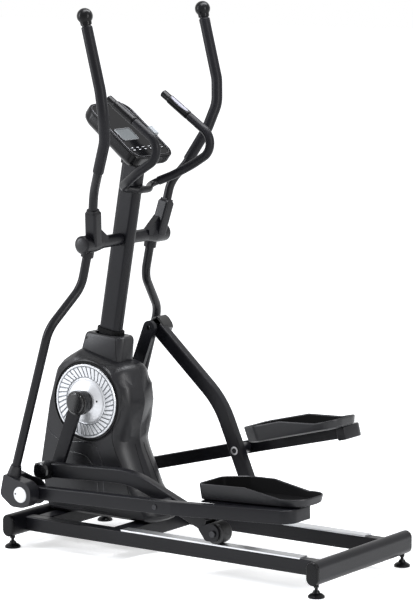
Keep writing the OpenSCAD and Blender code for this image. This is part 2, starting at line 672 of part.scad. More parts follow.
module swing_tube() color("black")
    swept(bent(concat([lerp(tube_top, tube_bend[0], 0.01)], tube_bend, [tube_end]), 90),
          circle_points(handle_d), [1, 0, 0]);
module left_swing_tube() in_swing(left) swing_tube();
module right_swing_tube() in_swing(right) swing_tube();

handle_points = [lerp(socket_foot, socket_top, 0.44), socket_top, [39, 199, 162], [77, 230, 217],
                 [134, 266, 325], [153, 296, 405], [148, 304, 480], [96, 306.6, 690]];
handle_bend = 110;
handle_path = bent(handle_points, handle_bend);
module handle_tube() color("black") swept(handle_path, circle_points(handle_d), [1, 0, 0]);
module left_handle_tube() in_swing(left) handle_tube();
module right_handle_tube() in_swing(right) handle_tube();
foam_path = bent(concat([lerp(handle_points[3], handle_points[4], 0.1)],
                        [for (i = [4 : 6]) handle_points[i]],
                        [lerp(handle_points[6], handle_points[7], 0.9)]), handle_bend);
module handle_grip() color("dimgray")
    swept_sleeve(foam_path, foam_d, handle_d + 0.4, [1, 0, 0]);
module left_handle_grip() in_swing(left) handle_grip();
module right_handle_grip() in_swing(right) handle_grip();
ball_centre = [95, 306.6, 699];
module handle_ball() color("black") difference() {
    union() {
        translate(ball_centre) sphere(d = ball_d, $fn = 40);
        swept([lerp(handle_points[6], handle_points[7], 0.907), ball_centre], circle_points(foam_d, 24),
              [1, 0, 0]);
    }
    swept([lerp(handle_points[6], handle_points[7], 0.85), handle_points[7]],
          circle_points(handle_d + 0.4), [1, 0, 0]);
}
module left_handle_ball() in_swing(left) handle_ball();
module right_handle_ball() in_swing(right) handle_ball();

// Foot cover: a shell with a slot, open to the rear, that the pedal arm enters
cover_in = 228;
cover_out = 310;
cheek_gap = 1;
foot_cap_d = 50;
foot_cap_t = 4;
cover_outline = rounded([[-64, 60, 8], [-80, -8, 20], [-34, -41, 32], [41, -41, 38], [41, 36, 34],
                         [-16, 46, 20]], 5);
// Collar round the tube's end as [distance up the tube, diameter]
collar = [[-14, 46], [2, 46], [26, 38], [38, 33]];
tube_foot = tube_end - foot_at;
tube_dir = unit(tube_bend[1] - tube_end);
function up_tube(s) = tube_foot + s * tube_dir;
module swing_cover() color("black") translate(foot_at) difference() {
    union() {
        translate([0, cover_out, 0]) rotate([90, 0, 0]) linear_extrude(cover_out - cover_in)
            polygon(cover_outline);
        skin([for (q = collar)
            swept_rings([up_tube(q[0]), up_tube(q[0] + 1)], circle_points(q[1], 20), [1, 0, 0])[0]]);
    }
    block([-38, pedal_y - pedal_w / 2 - cheek_gap, -60], [60, pedal_y + pedal_w / 2 + cheek_gap, 60]);
    bore_y(pin_d, cover_in - 1, cover_out - foot_cap_t);
    rod_y(foot_cap_d + 0.4, cover_out - foot_cap_t, cover_out + 1);
    swept([up_tube(-slide_gap), up_tube(60)], circle_points(handle_d + 0.4), [1, 0, 0]);
}
module left_swing_cover() in_swing(left) swing_cover();
module right_swing_cover() in_swing(right) swing_cover();
module swing_pin() color("silver") translate(foot_at) {
    rod_y(pin_d, cover_in + 2, cover_out - foot_cap_t);
    turned_y([[0, cover_out - foot_cap_t], [foot_cap_d / 2, cover_out - foot_cap_t],
              [foot_cap_d / 2, cover_out - 0.5], [foot_cap_d / 2 - 3, cover_out + 1.5],
              [0, cover_out + 2]]);
}
module left_swing_pin() in_swing(left) swing_pin();
module right_swing_pin() in_swing(right) swing_pin();

// ---- Pedal arms, in a frame at the pedal pivot, +X to the rear ----
plate_floor = pedal_h / 2;
tail_in = 105;
tail_out = 225;
module pedal_arm() color("black") difference() {
    union() {
        translate([0, 0, -pedal_h / 2]) linear_extrude(pedal_h)
            polygon(rounded([
                [-pedal_l - 18, pedal_y - pedal_w / 2, 4], [60, pedal_y - pedal_w / 2, 60],
                [tail_l - pedal_w, tail_out - pedal_w - 4, 14], [tail_l - pedal_w, tail_in, 4],
                [tail_l, tail_in, 4], [tail_l, tail_out - 8, 45], [60, pedal_y + pedal_w / 2, 60],
                [-pedal_l - 18, pedal_y + pedal_w / 2, 4]]));
        block([plate_toe + 12, tail_in, plate_floor - 4], [tail_l - 10, tail_out - 20, plate_floor]);
    }
    translate([-pedal_l, 0, 0]) bore_y(pin_d, 0, through);
    bore_y(pin_d, 0, through);
}
module left_pedal_arm() in_pedal(left) pedal_arm();
module right_pedal_arm() in_pedal(right) pedal_arm();

// Rim height along the footplate: level over the toe, falling to a level heel
function rim_height(x) = lerp(plate_h, heel_h, clamp01((x - 0.46 * plate_l) / (0.34 * plate_l)));
// The footplate narrows to the heel, and its inner toe corner is cut off
plate_corners = [[plate_l, plate_w / 2 - 18, 58], [0, plate_w / 2, 20], [0, 44 - plate_w / 2, 26],
                 [72, -plate_w / 2, 40], [plate_l, 6 - plate_w / 2, 50]];
// Long sides carry extra points where the rim's slope starts and ends
plate_outline = [
    for (p = split_at(split_at(rounded(plate_corners, 5), 0.46 * plate_l), 0.8 * plate_l)) p
];
function plate_ring(inset, z, rim) = [
    for (p = grown(plate_outline, -inset))
        [plate_toe + p.x, plate_y + p.y, plate_floor + z + rim * rim_height(p.x)]
];
module footplate() color("dimgray")
    skin([plate_ring(14, 0, 0), plate_ring(5, 5, 0), plate_ring(0, -4, 1), plate_ring(2, 0, 1),
          plate_ring(6, -3, 1), plate_ring(13, 6, 0)]);
module left_footplate() in_pedal(left) footplate();
module right_footplate() in_pedal(right) footplate();

// ---- Connecting arms, in a frame at the crank pin, +X towards the pedal pivot ----
arm_start = [8, link_y, 0];
bend_at = [326, link_y, 46];
run_end = [link_end.x, link_y, link_end.z];
run_dir = unit(run_end - bend_at);
web_back = roller_d / 2 + 10;
fork_in = 145;
fork_out = 211;
fork_t = 5;
boss_d = 34;
// Fork plate about the roller's pin, as [x, z, corner radius]
fork_outline = rounded([[-48, 34, 6], [-36, -12, 10], [8, -30, 24], [30, 14, 26], [0, 34, 20]], 4);
module link_arm() color("black") difference() {
    union() {
        swept(bent([arm_start, bend_at, run_end - run_dir * web_back], 280),
              rounded_box(link_h, link_w, 5, 2), [0, 0, 1]);
        translate([link_l, 0, 0]) rod_y(boss_d, link_y, pedal_y - pedal_w / 2 - slide_gap);
        translate([link_end.x, 0, link_end.z]) {
            for (y = [fork_in, fork_out - fork_t])
                translate([0, y + fork_t, 0]) rotate([90, 0, 0]) linear_extrude(fork_t)
                    rotate(45 - link_bend) polygon(fork_outline);
            rotate([0, link_bend, 0]) block([-web_back, fork_in, -22], [-web_back + fork_t, fork_out, 22]);
        }
    }
    rod_y(pin_d, 0, through);
    translate([link_l, 0, 0]) rod_y(pin_d, 0, through);
    translate([link_end.x, 0, link_end.z]) rod_y(roller_pin_d, 0, through);
}
roller_pin_d = 12;
module left_link_arm() in_link(left) link_arm();
module right_link_arm() in_link(right) link_arm();

module link_cover() color("black") difference() {
    skin([for (q = [[-26, 4], [-22, 0], [26, 0], [30, 5]])
        [for (p = grown(rounded_box(58, 52, 18, 2), -q.y)) [p.x, link_y + link_w / 2 + q.x, -p.y]]]);
    swept([lerp(arm_start, bend_at, -0.08), lerp(arm_start, bend_at, 0.2)],
          rounded_box(link_h + 2 * slide_gap, link_w + 2 * slide_gap, 4, 2), [0, 0, 1]);
    block([-20, link_y - link_w / 2 - 20, -18], [40, link_y, 18]);
    rod_y(pin_d + 0.4, 0, link_y + link_w / 2 + 16);
}
module left_link_cover() in_link(left) link_cover();
module right_link_cover() in_link(right) link_cover();

module link_pins() color("silver") {
    rod_y(pin_d, crank_y + slide_gap, link_y + link_w / 2 + 14);
    translate([link_l, 0, 0]) rod_y(pin_d, link_y - link_w / 2, pedal_y + pedal_w / 2 + 3);
    translate([link_end.x, 0, link_end.z]) {
        rod_y(roller_pin_d, fork_in, fork_out);
        rod_y(20, fork_out, fork_out + 6);
    }
}
module left_link_pins() in_link(left) link_pins();
module right_link_pins() in_link(right) link_pins();

roller_y = rail_y;
module roller() color("black") translate([link_end.x, 0, link_end.z]) difference() {
    turned_y([[0, roller_y - roller_w / 2], [roller_d / 2 - 4, roller_y - roller_w / 2],
              [roller_d / 2, roller_y - roller_w / 2 + 4], [roller_d / 2, roller_y + roller_w / 2 - 4],
              [roller_d / 2 - 4, roller_y + roller_w / 2], [0, roller_y + roller_w / 2]]);
    bore_y(roller_pin_d, 0, through);
}
module left_roller() in_link(left) roller();
module right_roller() in_link(right) roller();

// ---- Fixed handlebar and console ----
bar_seat = from_mast(bar_in_mast);
// Right arm of the handlebar, from the saddle outwards, then back and up
bar_corners = [for (p = [[0, 26, 0], [-35.5, 74, 8], [24.5, 114, 36], [82.5, 138, 70],
                         [191, 140, 136.5], [-27, 140, 285.7]]) bar_seat + p];
bar_bends = [34, 28, 120, 120, 50];
bar_arm = bent(concat([bar_seat], bar_corners), bar_bends);
bar_end = bar_corners[5];
grip_dir = unit(bar_corners[4] - bar_end);
bar_rings = len(bar_arm);
module handlebar() color("black")
    swept(concat([for (i = [bar_rings - 1 : -1 : 1]) [bar_arm[i].x, -bar_arm[i].y, bar_arm[i].z]],
                 [for (i = [1 : bar_rings - 1]) bar_arm[i]]), circle_points(bar_d), [1, 0, 0]);
// The foam starts in the bend beside the saddle and ends at the pulse grip
foam_from = 9;
pulse_l = 116;
grip_path = concat([for (i = [foam_from : bar_rings - 2]) bar_arm[i]], [bar_end + grip_dir * pulse_l]);
module handlebar_grips() color("dimgray") for (side = [left, right])
    on_side(side) swept_sleeve(grip_path, bar_foam_d, bar_d + 2 * slide_gap, [1, 0, 0]);
// Pulse grips, in a frame at the bar's end with +X down the bar
module in_grip(side)
    on_side(side) translate(bar_end) rotate([0, -angle_of(grip_dir), 0]) children();
grip_r = bar_foam_d / 2 - 1.5;
grip_swell = 2;
module pulse_grips() color("black") for (side = [left, right]) in_grip(side)
    rotate([0, 90, 0]) rotate_extrude() polygon([
        [0, -3], [grip_r - 2, -3], [grip_r, -1], [grip_r, 26], [grip_r + grip_swell, 31],
        [grip_r + grip_swell, pulse_l - 6], [grip_r + 1, pulse_l - 1], [bar_d / 2 + 0.2, pulse_l - 1],
        [bar_d / 2 + 0.2, -bore_gap], [0, -bore_gap]]);
plate_tilt = 25;
module pulse_plates() color("silver") for (side = [left, right]) in_grip(side) intersection() {
    rotate([0, 90, 0]) difference() {
        cylinder(r = grip_r + grip_swell + 1.2, h = pulse_l);
        translate([0, 0, -1]) cylinder(r = grip_r + grip_swell + bore_gap, h = pulse_l + 2);
    }
    rotate([plate_tilt, 0, 0]) linear_extrude(bar_d)
        polygon([for (p = circle_points(2, 24)) [70 + 38 * p.x, 8 * p.y]]);
}

console_mid = from_mast([0, 0, mast_up]) + [-18, 0, 74];
module in_console() translate(console_mid) rotate([0, console_tilt, 0]) children();
console_outline = rounded([[console_l / 2, console_w / 2, 36], [-console_l / 2, console_w / 2, 48],
                           [-console_l / 2, -console_w / 2, 48], [console_l / 2, -console_w / 2, 36]], 5);
// Stack of console outlines from [height, inset] pairs
module console_stack(levels)
    skin([for (q = levels) [for (p = grown(console_outline, -q[1])) [p.x, p.y, q[0]]]]);
lip_w = 6;
face_drop = 3.5;
panel_t = 2.2;
panel_top = panel_t - face_drop;
module console_back() color("black") difference() {
    union() {
        in_console() console_stack([[-console_t, 16], [10 - console_t, 4], [20 - console_t, 0], [-3, 0],
                                    [0, 2.5]]);
        in_mast() translate([0, 0, mast_up - 34]) linear_extrude(40) oval(mast_l + 10, mast_w + 10);
    }
    in_console() console_stack([[-face_drop, lip_w], [1, lip_w - 0.5]]);
    in_mast() translate([0, 0, mast_up - 80]) linear_extrude(80 + slide_gap)
        oval(mast_l + 2 * slide_gap, mast_w + 2 * slide_gap);
}
key_pitch = 28;
module console_front() color("black") in_console() {
    console_stack([[-face_drop, lip_w + slide_gap], [panel_top - 0.6, lip_w + slide_gap],
                   [panel_top, lip_w + slide_gap + 0.8]]);
    for (i = [-2.5 : 2.5]) translate([88, i * key_pitch, panel_top - 0.5])
        linear_extrude(1.7) polygon(rounded_box(11, 18, 4, 3));
}
module display_window() color("gray") in_console() translate([18, -38, panel_top])
    skin([for (q = [[0, 0], [0.9, 0], [1.6, 1.2]])
        [for (p = grown(rounded_box(46, 72, 7, 3), -q[1])) [p.x, p.y, q[0]]]]);
// Clip over the console's right edge
clip_l = 34;
clip_t = 3;
module side_clip() color("silver") in_console()
    translate([2, 0, 0]) rotate([90, 0, 90]) linear_extrude(clip_l)
        translate([console_w / 2, 0]) polygon([
            [-20, 0.05], [bore_gap, 0.05], [bore_gap, -18], [clip_t, -18], [clip_t, 5], [0, 9],
            [-20, 9]]);

front_stabiliser();
rear_stabiliser();
stabiliser_caps();
levelling_feet();
base_rails();
roller_tracks();
crossmembers();
main_post();
mast();
mast_collar();
neck_cover();
left_housing();
right_housing();
swing_axle();
console_back();
console_front();
display_window();
side_clip();
handlebar();
handlebar_grips();
pulse_grips();
pulse_plates();
drive_bearings();
drive_belt();
frame_bolts();
magnet_brake();
idler_wheel();
flywheel();
crank_axle();
left_crank();
right_crank();
hub_caps();
crank_discs();
drive_pulley();
left_swing_sleeve();
right_swing_sleeve();
left_swing_tube();
right_swing_tube();
left_swing_cover();
right_swing_cover();
left_swing_pin();
right_swing_pin();
left_handle_tube();
right_handle_tube();
left_handle_grip();
right_handle_grip();
left_handle_ball();
right_handle_ball();
left_pedal_arm();
right_pedal_arm();
left_footplate();
right_footplate();
left_link_arm();
right_link_arm();
left_link_cover();
right_link_cover();
left_link_pins();
right_link_pins();
left_roller();
right_roller();
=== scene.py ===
# Looks of a front-drive elliptical trainer, built round its fixed frame of construction parts.
# Metres, +X to the rear, +Y to the user's right, +Z up, floor at 0.
import json
import math

import bmesh
import bpy
from mathutils import Matrix, Vector

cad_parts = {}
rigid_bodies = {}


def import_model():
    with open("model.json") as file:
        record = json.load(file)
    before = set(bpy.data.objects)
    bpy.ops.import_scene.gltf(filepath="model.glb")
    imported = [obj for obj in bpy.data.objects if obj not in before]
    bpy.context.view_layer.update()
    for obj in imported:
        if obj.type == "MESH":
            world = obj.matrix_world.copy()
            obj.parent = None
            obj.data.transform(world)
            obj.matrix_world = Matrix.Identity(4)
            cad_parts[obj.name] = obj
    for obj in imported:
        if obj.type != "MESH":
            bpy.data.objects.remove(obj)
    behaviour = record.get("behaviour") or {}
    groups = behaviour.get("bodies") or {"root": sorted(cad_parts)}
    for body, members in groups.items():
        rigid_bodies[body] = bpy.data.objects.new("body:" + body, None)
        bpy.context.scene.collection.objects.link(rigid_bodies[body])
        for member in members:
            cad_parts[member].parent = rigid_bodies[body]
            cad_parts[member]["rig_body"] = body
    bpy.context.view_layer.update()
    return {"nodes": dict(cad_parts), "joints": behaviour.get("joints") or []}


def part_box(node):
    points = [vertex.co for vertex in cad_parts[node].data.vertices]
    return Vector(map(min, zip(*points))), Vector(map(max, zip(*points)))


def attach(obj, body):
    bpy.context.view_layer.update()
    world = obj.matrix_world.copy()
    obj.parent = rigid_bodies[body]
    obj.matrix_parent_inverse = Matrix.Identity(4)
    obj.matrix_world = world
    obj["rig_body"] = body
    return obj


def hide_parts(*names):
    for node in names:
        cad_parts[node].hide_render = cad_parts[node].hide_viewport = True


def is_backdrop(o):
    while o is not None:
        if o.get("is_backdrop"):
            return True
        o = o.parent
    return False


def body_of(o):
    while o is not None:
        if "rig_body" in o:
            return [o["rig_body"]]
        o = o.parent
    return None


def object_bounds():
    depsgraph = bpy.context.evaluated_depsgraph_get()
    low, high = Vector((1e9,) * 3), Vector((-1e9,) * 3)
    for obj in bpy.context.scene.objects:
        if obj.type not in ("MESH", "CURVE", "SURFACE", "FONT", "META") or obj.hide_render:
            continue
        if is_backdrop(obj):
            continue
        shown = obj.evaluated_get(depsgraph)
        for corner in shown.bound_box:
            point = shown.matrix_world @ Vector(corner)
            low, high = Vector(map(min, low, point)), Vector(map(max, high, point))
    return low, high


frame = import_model()
parts = frame["nodes"]


# ---- Camera, light and floor ----
# A long lens in front of the machine's left rear, a pale studio floor that runs out to white,
# and broad soft lamps: one overhead, one from the viewer's left and a weaker one from the right.
scene = bpy.context.scene
aim = Vector((-0.015, 0.0, 0.6475))
camera_back = Vector((0.57518, -0.80269, 0.15772))
camera_distance = 8.7222
camera_roll = math.radians(-0.2072)

camera_data = bpy.data.cameras.new("camera")
camera = bpy.data.objects.new("camera", camera_data)
scene.collection.objects.link(camera)
camera.location = aim + camera_back * camera_distance
looking = camera_back.to_track_quat("Z", "Y")
camera.rotation_euler = (looking.to_matrix() @ Matrix.Rotation(camera_roll, 3, "Z")).to_euler()
camera_data.lens = 170.85
camera_data.shift_x = 0.0113
camera_data.shift_y = 0.0826
camera_data.clip_end = 100.0
scene.camera = camera
scene.view_settings.view_transform = "Standard"

world = bpy.data.worlds.new("studio")
scene.world = world
world.use_nodes = True
sky = world.node_tree
sky.nodes.clear()


def seen_ray(tree):
    """A socket that is 1 for a ray from the camera, through glass or off a mirror, and else 0."""
    path = tree.nodes.new("ShaderNodeLightPath")
    seen = path.outputs["Is Camera Ray"]
    for kind in ("Is Transmission Ray", "Is Glossy Ray"):
        either = tree.nodes.new("ShaderNodeMath")
        either.operation = "MAXIMUM"
        tree.links.new(seen, either.inputs[0])
        tree.links.new(path.outputs[kind], either.inputs[1])
        seen = either.outputs[0]
    return seen


direct = sky.nodes.new("ShaderNodeBackground")
direct.inputs["Color"].default_value = (1.0, 1.0, 1.0, 1.0)
direct.inputs["Strength"].default_value = 1.0
ambient = sky.nodes.new("ShaderNodeBackground")
ambient.inputs["Color"].default_value = (0.92, 0.96, 1.0, 1.0)
ambient.inputs["Strength"].default_value = 0.35
choose = sky.nodes.new("ShaderNodeMixShader")
out = sky.nodes.new("ShaderNodeOutputWorld")
sky.links.new(seen_ray(sky), choose.inputs[0])
sky.links.new(ambient.outputs[0], choose.inputs[1])
sky.links.new(direct.outputs[0], choose.inputs[2])
sky.links.new(choose.outputs[0], out.inputs[0])


def lamp(name, place, size, watts, tint):
    """A rectangular lamp turned towards the middle of the machine."""
    data = bpy.data.lights.new(name, "AREA")
    data.shape = "RECTANGLE"
    data.size, data.size_y = size
    data.energy = watts
    data.color = tint
    light = bpy.data.objects.new(name, data)
    scene.collection.objects.link(light)
    light.location = place
    light.rotation_euler = (Vector(place) - Vector((0.0, 0.0, 0.7))).to_track_quat("Z", "Y").to_euler()


lamp("overhead_strip", (0.1, 0.3, 3.2), (0.7, 2.6), 105.0, (0.96, 0.97, 1.0))
lamp("left_strip", (-2.6, -2.2, 2.0), (0.5, 2.4), 75.0, (0.93, 0.95, 1.0))
lamp("rear_strip", (3.2, -0.6, 1.8), (0.5, 2.2), 60.0, (1.0, 1.0, 1.0))

floor_mesh = bpy.data.meshes.new("floor")
floor_mesh.from_pydata([(-30, -30, 0), (30, -30, 0), (30, 30, 0), (-30, 30, 0)], [], [(0, 1, 2, 3)])
floor = bpy.data.objects.new("floor", floor_mesh)
scene.collection.objects.link(floor)
floor_paint = bpy.data.materials.new("studio_floor")
floor_paint.use_nodes = True
tree = floor_paint.node_tree
tree.nodes.clear()
diffuse = tree.nodes.new("ShaderNodeBsdfDiffuse")
diffuse.inputs["Color"].default_value = (0.9, 0.9, 0.9, 1.0)
glow = tree.nodes.new("ShaderNodeEmission")
glow.inputs["Color"].default_value = (1.0, 1.0, 1.0, 1.0)
only_seen = tree.nodes.new("ShaderNodeMath")
only_seen.operation = "MULTIPLY"
spot = tree.nodes.new("ShaderNodeTexCoord")
reach = tree.nodes.new("ShaderNodeVectorMath")
reach.operation = "LENGTH"
run_out = tree.nodes.new("ShaderNodeMapRange")
run_out.inputs["From Min"].default_value = 1.0
run_out.inputs["From Max"].default_value = 3.5
run_out.inputs["To Min"].default_value = 0.6
run_out.inputs["To Max"].default_value = 1.0
both = tree.nodes.new("ShaderNodeAddShader")
floor_out = tree.nodes.new("ShaderNodeOutputMaterial")
tree.links.new(seen_ray(tree), only_seen.inputs[0])
tree.links.new(spot.outputs["Object"], reach.inputs[0])
tree.links.new(reach.outputs["Value"], run_out.inputs["Value"])
tree.links.new(run_out.outputs["Result"], only_seen.inputs[1])
tree.links.new(only_seen.outputs[0], glow.inputs["Strength"])
tree.links.new(diffuse.outputs[0], both.inputs[0])
tree.links.new(glow.outputs[0], both.inputs[1])
tree.links.new(both.outputs[0], floor_out.inputs["Surface"])
floor_mesh.materials.append(floor_paint)
floor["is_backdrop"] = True


# ---- Base: stabilisers, rails, crossmembers, caps, feet and roller tracks ----
# Oval and box steel tubes, welded and powder coated satin black with a faint orange peel, moulded
# caps pushed into the ends, screw-in levelling feet and drawn aluminium strips on the rails.
def finish_with(name, base, rough, grain, depth, metal=0.0, mottle=0.25, rough_spread=0.08, **sockets):
    """A coated or moulded surface: fine grain in the bump, slow mottling in colour and gloss."""
    material = bpy.data.materials.new(name)
    material.use_nodes = True
    nodes, links = material.node_tree.nodes, material.node_tree.links
    surface = nodes["Principled BSDF"]
    surface.inputs["Metallic"].default_value = metal
    for socket, value in sockets.items():
        surface.inputs[socket.replace("_", " ")].default_value = value
    place = nodes.new("ShaderNodeTexCoord")
    fine = nodes.new("ShaderNodeTexNoise")
    fine.inputs["Scale"].default_value = grain
    fine.inputs["Detail"].default_value = 3.0
    slow = nodes.new("ShaderNodeTexNoise")
    slow.inputs["Scale"].default_value = 9.0
    slow.inputs["Detail"].default_value = 2.0
    links.new(place.outputs["Object"], fine.inputs["Vector"])
    links.new(place.outputs["Object"], slow.inputs["Vector"])
    tone = nodes.new("ShaderNodeValToRGB")
    tone.color_ramp.elements[0].position = 0.3
    tone.color_ramp.elements[1].position = 0.7
    tone.color_ramp.elements[0].color = [c * (1.0 - mottle) for c in base] + [1.0]
    tone.color_ramp.elements[1].color = [c * (1.0 + mottle) for c in base] + [1.0]
    links.new(slow.outputs["Fac"], tone.inputs["Fac"])
    links.new(tone.outputs["Color"], surface.inputs["Base Color"])
    gloss = nodes.new("ShaderNodeMapRange")
    gloss.inputs["To Min"].default_value = rough - rough_spread
    gloss.inputs["To Max"].default_value = rough + rough_spread
    links.new(fine.outputs["Fac"], gloss.inputs["Value"])
    links.new(gloss.outputs["Result"], surface.inputs["Roughness"])
    bump = nodes.new("ShaderNodeBump")
    bump.inputs["Strength"].default_value = 0.35
    bump.inputs["Distance"].default_value = depth
    links.new(fine.outputs["Fac"], bump.inputs["Height"])
    links.new(bump.outputs["Normal"], surface.inputs["Normal"])
    return material


side_sign = {"left": -1.0, "right": 1.0}


def both_sides(*names):
    """The names of the left and right piece for each name."""
    return [side + "_" + name for side in ("left", "right") for name in names]


def piece_from(name, points, faces, material, body):
    """A new piece from points and faces, riding on its body."""
    mesh = bpy.data.meshes.new(name)
    mesh.from_pydata([tuple(p) for p in points], [], faces)
    mesh.materials.append(material)
    for face in mesh.polygons:
        face.use_smooth = True
    mesh.validate()
    piece = bpy.data.objects.new(name, mesh)
    scene.collection.objects.link(piece)
    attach(piece, body)
    return piece


def finished(material, edge, *names, steps=2, sharp=32.0):
    """Each named CAD piece made again with its edges rounded over and its curves smooth."""
    for name in names:
        cleaner = bmesh.new()
        cleaner.from_mesh(parts[name].data)
        bmesh.ops.remove_doubles(cleaner, verts=cleaner.verts[:], dist=3e-6)
        bmesh.ops.dissolve_limit(cleaner, angle_limit=math.radians(0.5), verts=cleaner.verts[:],
                                 edges=cleaner.edges[:])
        cleaner.verts.index_update()
        points = [v.co.copy() for v in cleaner.verts]
        faces = [[v.index for v in f.verts] for f in cleaner.faces]
        cleaner.free()
        body = body_of(parts[name])[0]
        piece = piece_from(name + "_finished", points, faces, material, body)
        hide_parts(name)
        if edge:
            bevel = piece.modifiers.new("rounded_edges", "BEVEL")
            bevel.width = edge
            bevel.segments = steps
            bevel.limit_method = "ANGLE"
            bevel.angle_limit = math.radians(sharp)
            level = piece.modifiers.new("level_faces", "WEIGHTED_NORMAL")
            level.weight = 100
        else:
            piece.data.set_sharp_from_angle(angle=math.radians(sharp))


powder_black = finish_with("black_powder_coat", (0.0045, 0.0045, 0.0062), 0.34, 650.0, 0.0004,
                           Specular_IOR_Level=0.2)
finished(powder_black, 0.0008, "front_stabiliser", "rear_stabiliser", "base_rails", "crossmembers")
satin_black = finish_with("satin_black_plastic", (0.0035, 0.0035, 0.0042), 0.28, 500.0, 0.0001,
                          Specular_IOR_Level=0.15)
finished(satin_black, 0.0008, "stabiliser_caps", "levelling_feet")
aluminium = finish_with("drawn_aluminium", (0.62, 0.63, 0.65), 0.33, 500.0, 0.0001, metal=1.0, mottle=0.05)
finished(aluminium, 0.0004, "roller_tracks")


# ---- Mast: lower post, leaning oval mast and the collar at its joint ----
# One oval steel tube slips over the stub that is welded to the base, and a moulded collar hides
# the joint. The coat is the frame's.
finished(powder_black, 0.0008, "main_post", "mast")
# The collar is painted near-black, darker than the frame: painted shade in the gap where the mast goes into
# it.
collar_painted_shade = finish_with("rubber_gaiter", (0.0015, 0.0015, 0.0017), 0.6, 300.0, 0.0001,
                           Specular_IOR_Level=0.1)
finished(collar_painted_shade, 0.0010, "mast_collar")


# ---- Drive housing and neck cover ----
# Two moulded half shells with a fine spark-eroded grain, screwed together on the centre plane,
# and a neck cover that drops over the mast's foot. Its screw holes hold near-black plugs: painted shade in
# the holes.
moulded_black = finish_with("textured_black_cover", (0.006, 0.006, 0.0078), 0.36, 550.0, 0.0005,
                            Specular_IOR_Level=0.33)
finished(moulded_black, 0.0, "neck_cover", "left_housing", "right_housing", sharp=24.0)


def turned(profile, segments=32):
    """Points and faces of a closed outline of (radius, y) revolved about the Y axis."""
    points, faces, rings = [], [], []
    for radius, y in profile:
        if radius < 1e-7:
            rings.append([len(points)])
            points.append(Vector((0.0, y, 0.0)))
        else:
            rings.append(list(range(len(points), len(points) + segments)))
            points += [Vector((radius * math.cos(math.tau * k / segments), y,
                               radius * math.sin(math.tau * k / segments))) for k in range(segments)]
    for inner, outer in zip(rings, rings[1:]):
        for k in range(segments):
            n = (k + 1) % segments
            if len(inner) == 1 and len(outer) > 1:
                faces.append((inner[0], outer[n], outer[k]))
            elif len(outer) == 1 and len(inner) > 1:
                faces.append((inner[k], inner[n], outer[0]))
            elif len(inner) > 1:
                faces.append((inner[k], inner[n], outer[n], outer[k]))
    return points, faces


def turned_piece(name, profile, centre, out, material, body, segments=32, sharp=40.0):
    """A turned piece at centre, its outline's +y pointing along out (+1 or -1) on the Y axis."""
    points, faces = turned(profile, segments)
    if out < 0:
        faces = [tuple(reversed(f)) for f in faces]
    points = [Vector((p.x + centre[0], p.y * out + centre[1], p.z + centre[2])) for p in points]
    piece = piece_from(name, points, faces, material, body)
    piece.data.set_sharp_from_angle(angle=math.radians(sharp))
    return piece


crank = Vector(frame["joints"][0]["pos_m"])
# Near-black paint for small plugs set in screw holes: painted shade in the holes.
hole_painted_shade = finish_with("deep_hole", (0.002, 0.002, 0.002), 0.8, 200.0, 0.0001)
neck_screw = [(0.0, 0.0006), (0.0035, 0.0006), (0.0045, 0.0), (0.0045, -0.003), (0.0, -0.003)]
for side, out in side_sign.items():
    turned_piece(side + "_neck_screw", neck_screw, crank + Vector((-0.035, out * 0.0395, 0.191)), out,
                 hole_painted_shade, "root")


# ---- Drive inside the housing ----
# Steel bearings, the ribbed belt, its pulleys, the cast flywheel, the magnet brake and the idler.
steel = finish_with("machined_steel", (0.45, 0.45, 0.46), 0.35, 500.0, 0.0001, metal=1.0, mottle=0.08)
finished(steel, 0.0, "drive_bearings", "magnet_brake", "idler_wheel")
finished(satin_black, 0.0005, "drive_pulley")
iron = finish_with("cast_iron", (0.12, 0.12, 0.125), 0.5, 300.0, 0.0003, metal=0.8)
finished(iron, 0.0008, "flywheel")
rubber = finish_with("dark_rubber", (0.0035, 0.0035, 0.004), 0.5, 400.0, 0.0002)
finished(rubber, 0.0004, "drive_belt")


# ---- Crank: axle, flat arms, ribbed silver discs and hub caps ----
# Flat steel arms on the axle, pressed discs painted silver with a ring of raised ribs and a
# smooth dish, and glossy moulded caps, each held by one small screw.
finished(steel, 0.0, "crank_axle")
finished(powder_black, 0.0016, "left_crank", "right_crank", steps=3)
silver = finish_with("silver_disc", (0.62, 0.63, 0.65), 0.36, 400.0, 0.0001, metal=0.7, mottle=0.04)
# The flat floor between the disc's raised ribs gets a darker silver: painted shade in the valleys between the
# ribs.
painted_valley_shade = finish_with("silver_valley", (0.18, 0.19, 0.2), 0.4, 400.0, 0.0001, metal=0.6, mottle=0.06)
disc_face = 0.090
disc_outline = [
    (0.0242, 0.0880), (0.1165, 0.0880), (0.1170, 0.0905), (0.1158, 0.0925), (0.1135, 0.0930),
    (0.1112, 0.0926), (0.1100, 0.0908), (0.1095, disc_face), (0.0745, disc_face), (0.0738, 0.0908),
    (0.0725, 0.0922), (0.0712, 0.0926), (0.0698, 0.0920), (0.0692, 0.0908), (0.0680, 0.0906),
    (0.0620, 0.0915), (0.0520, 0.0940), (0.0420, 0.0975), (0.0355, 0.1010), (0.0242, 0.1012)]
rib_count, rib_lean = 40, math.radians(7.0)
rib_lifts = [(disc_face - 0.0004, 0.0), (disc_face + 0.0018, 0.0002), (disc_face + 0.0026, 0.0010)]


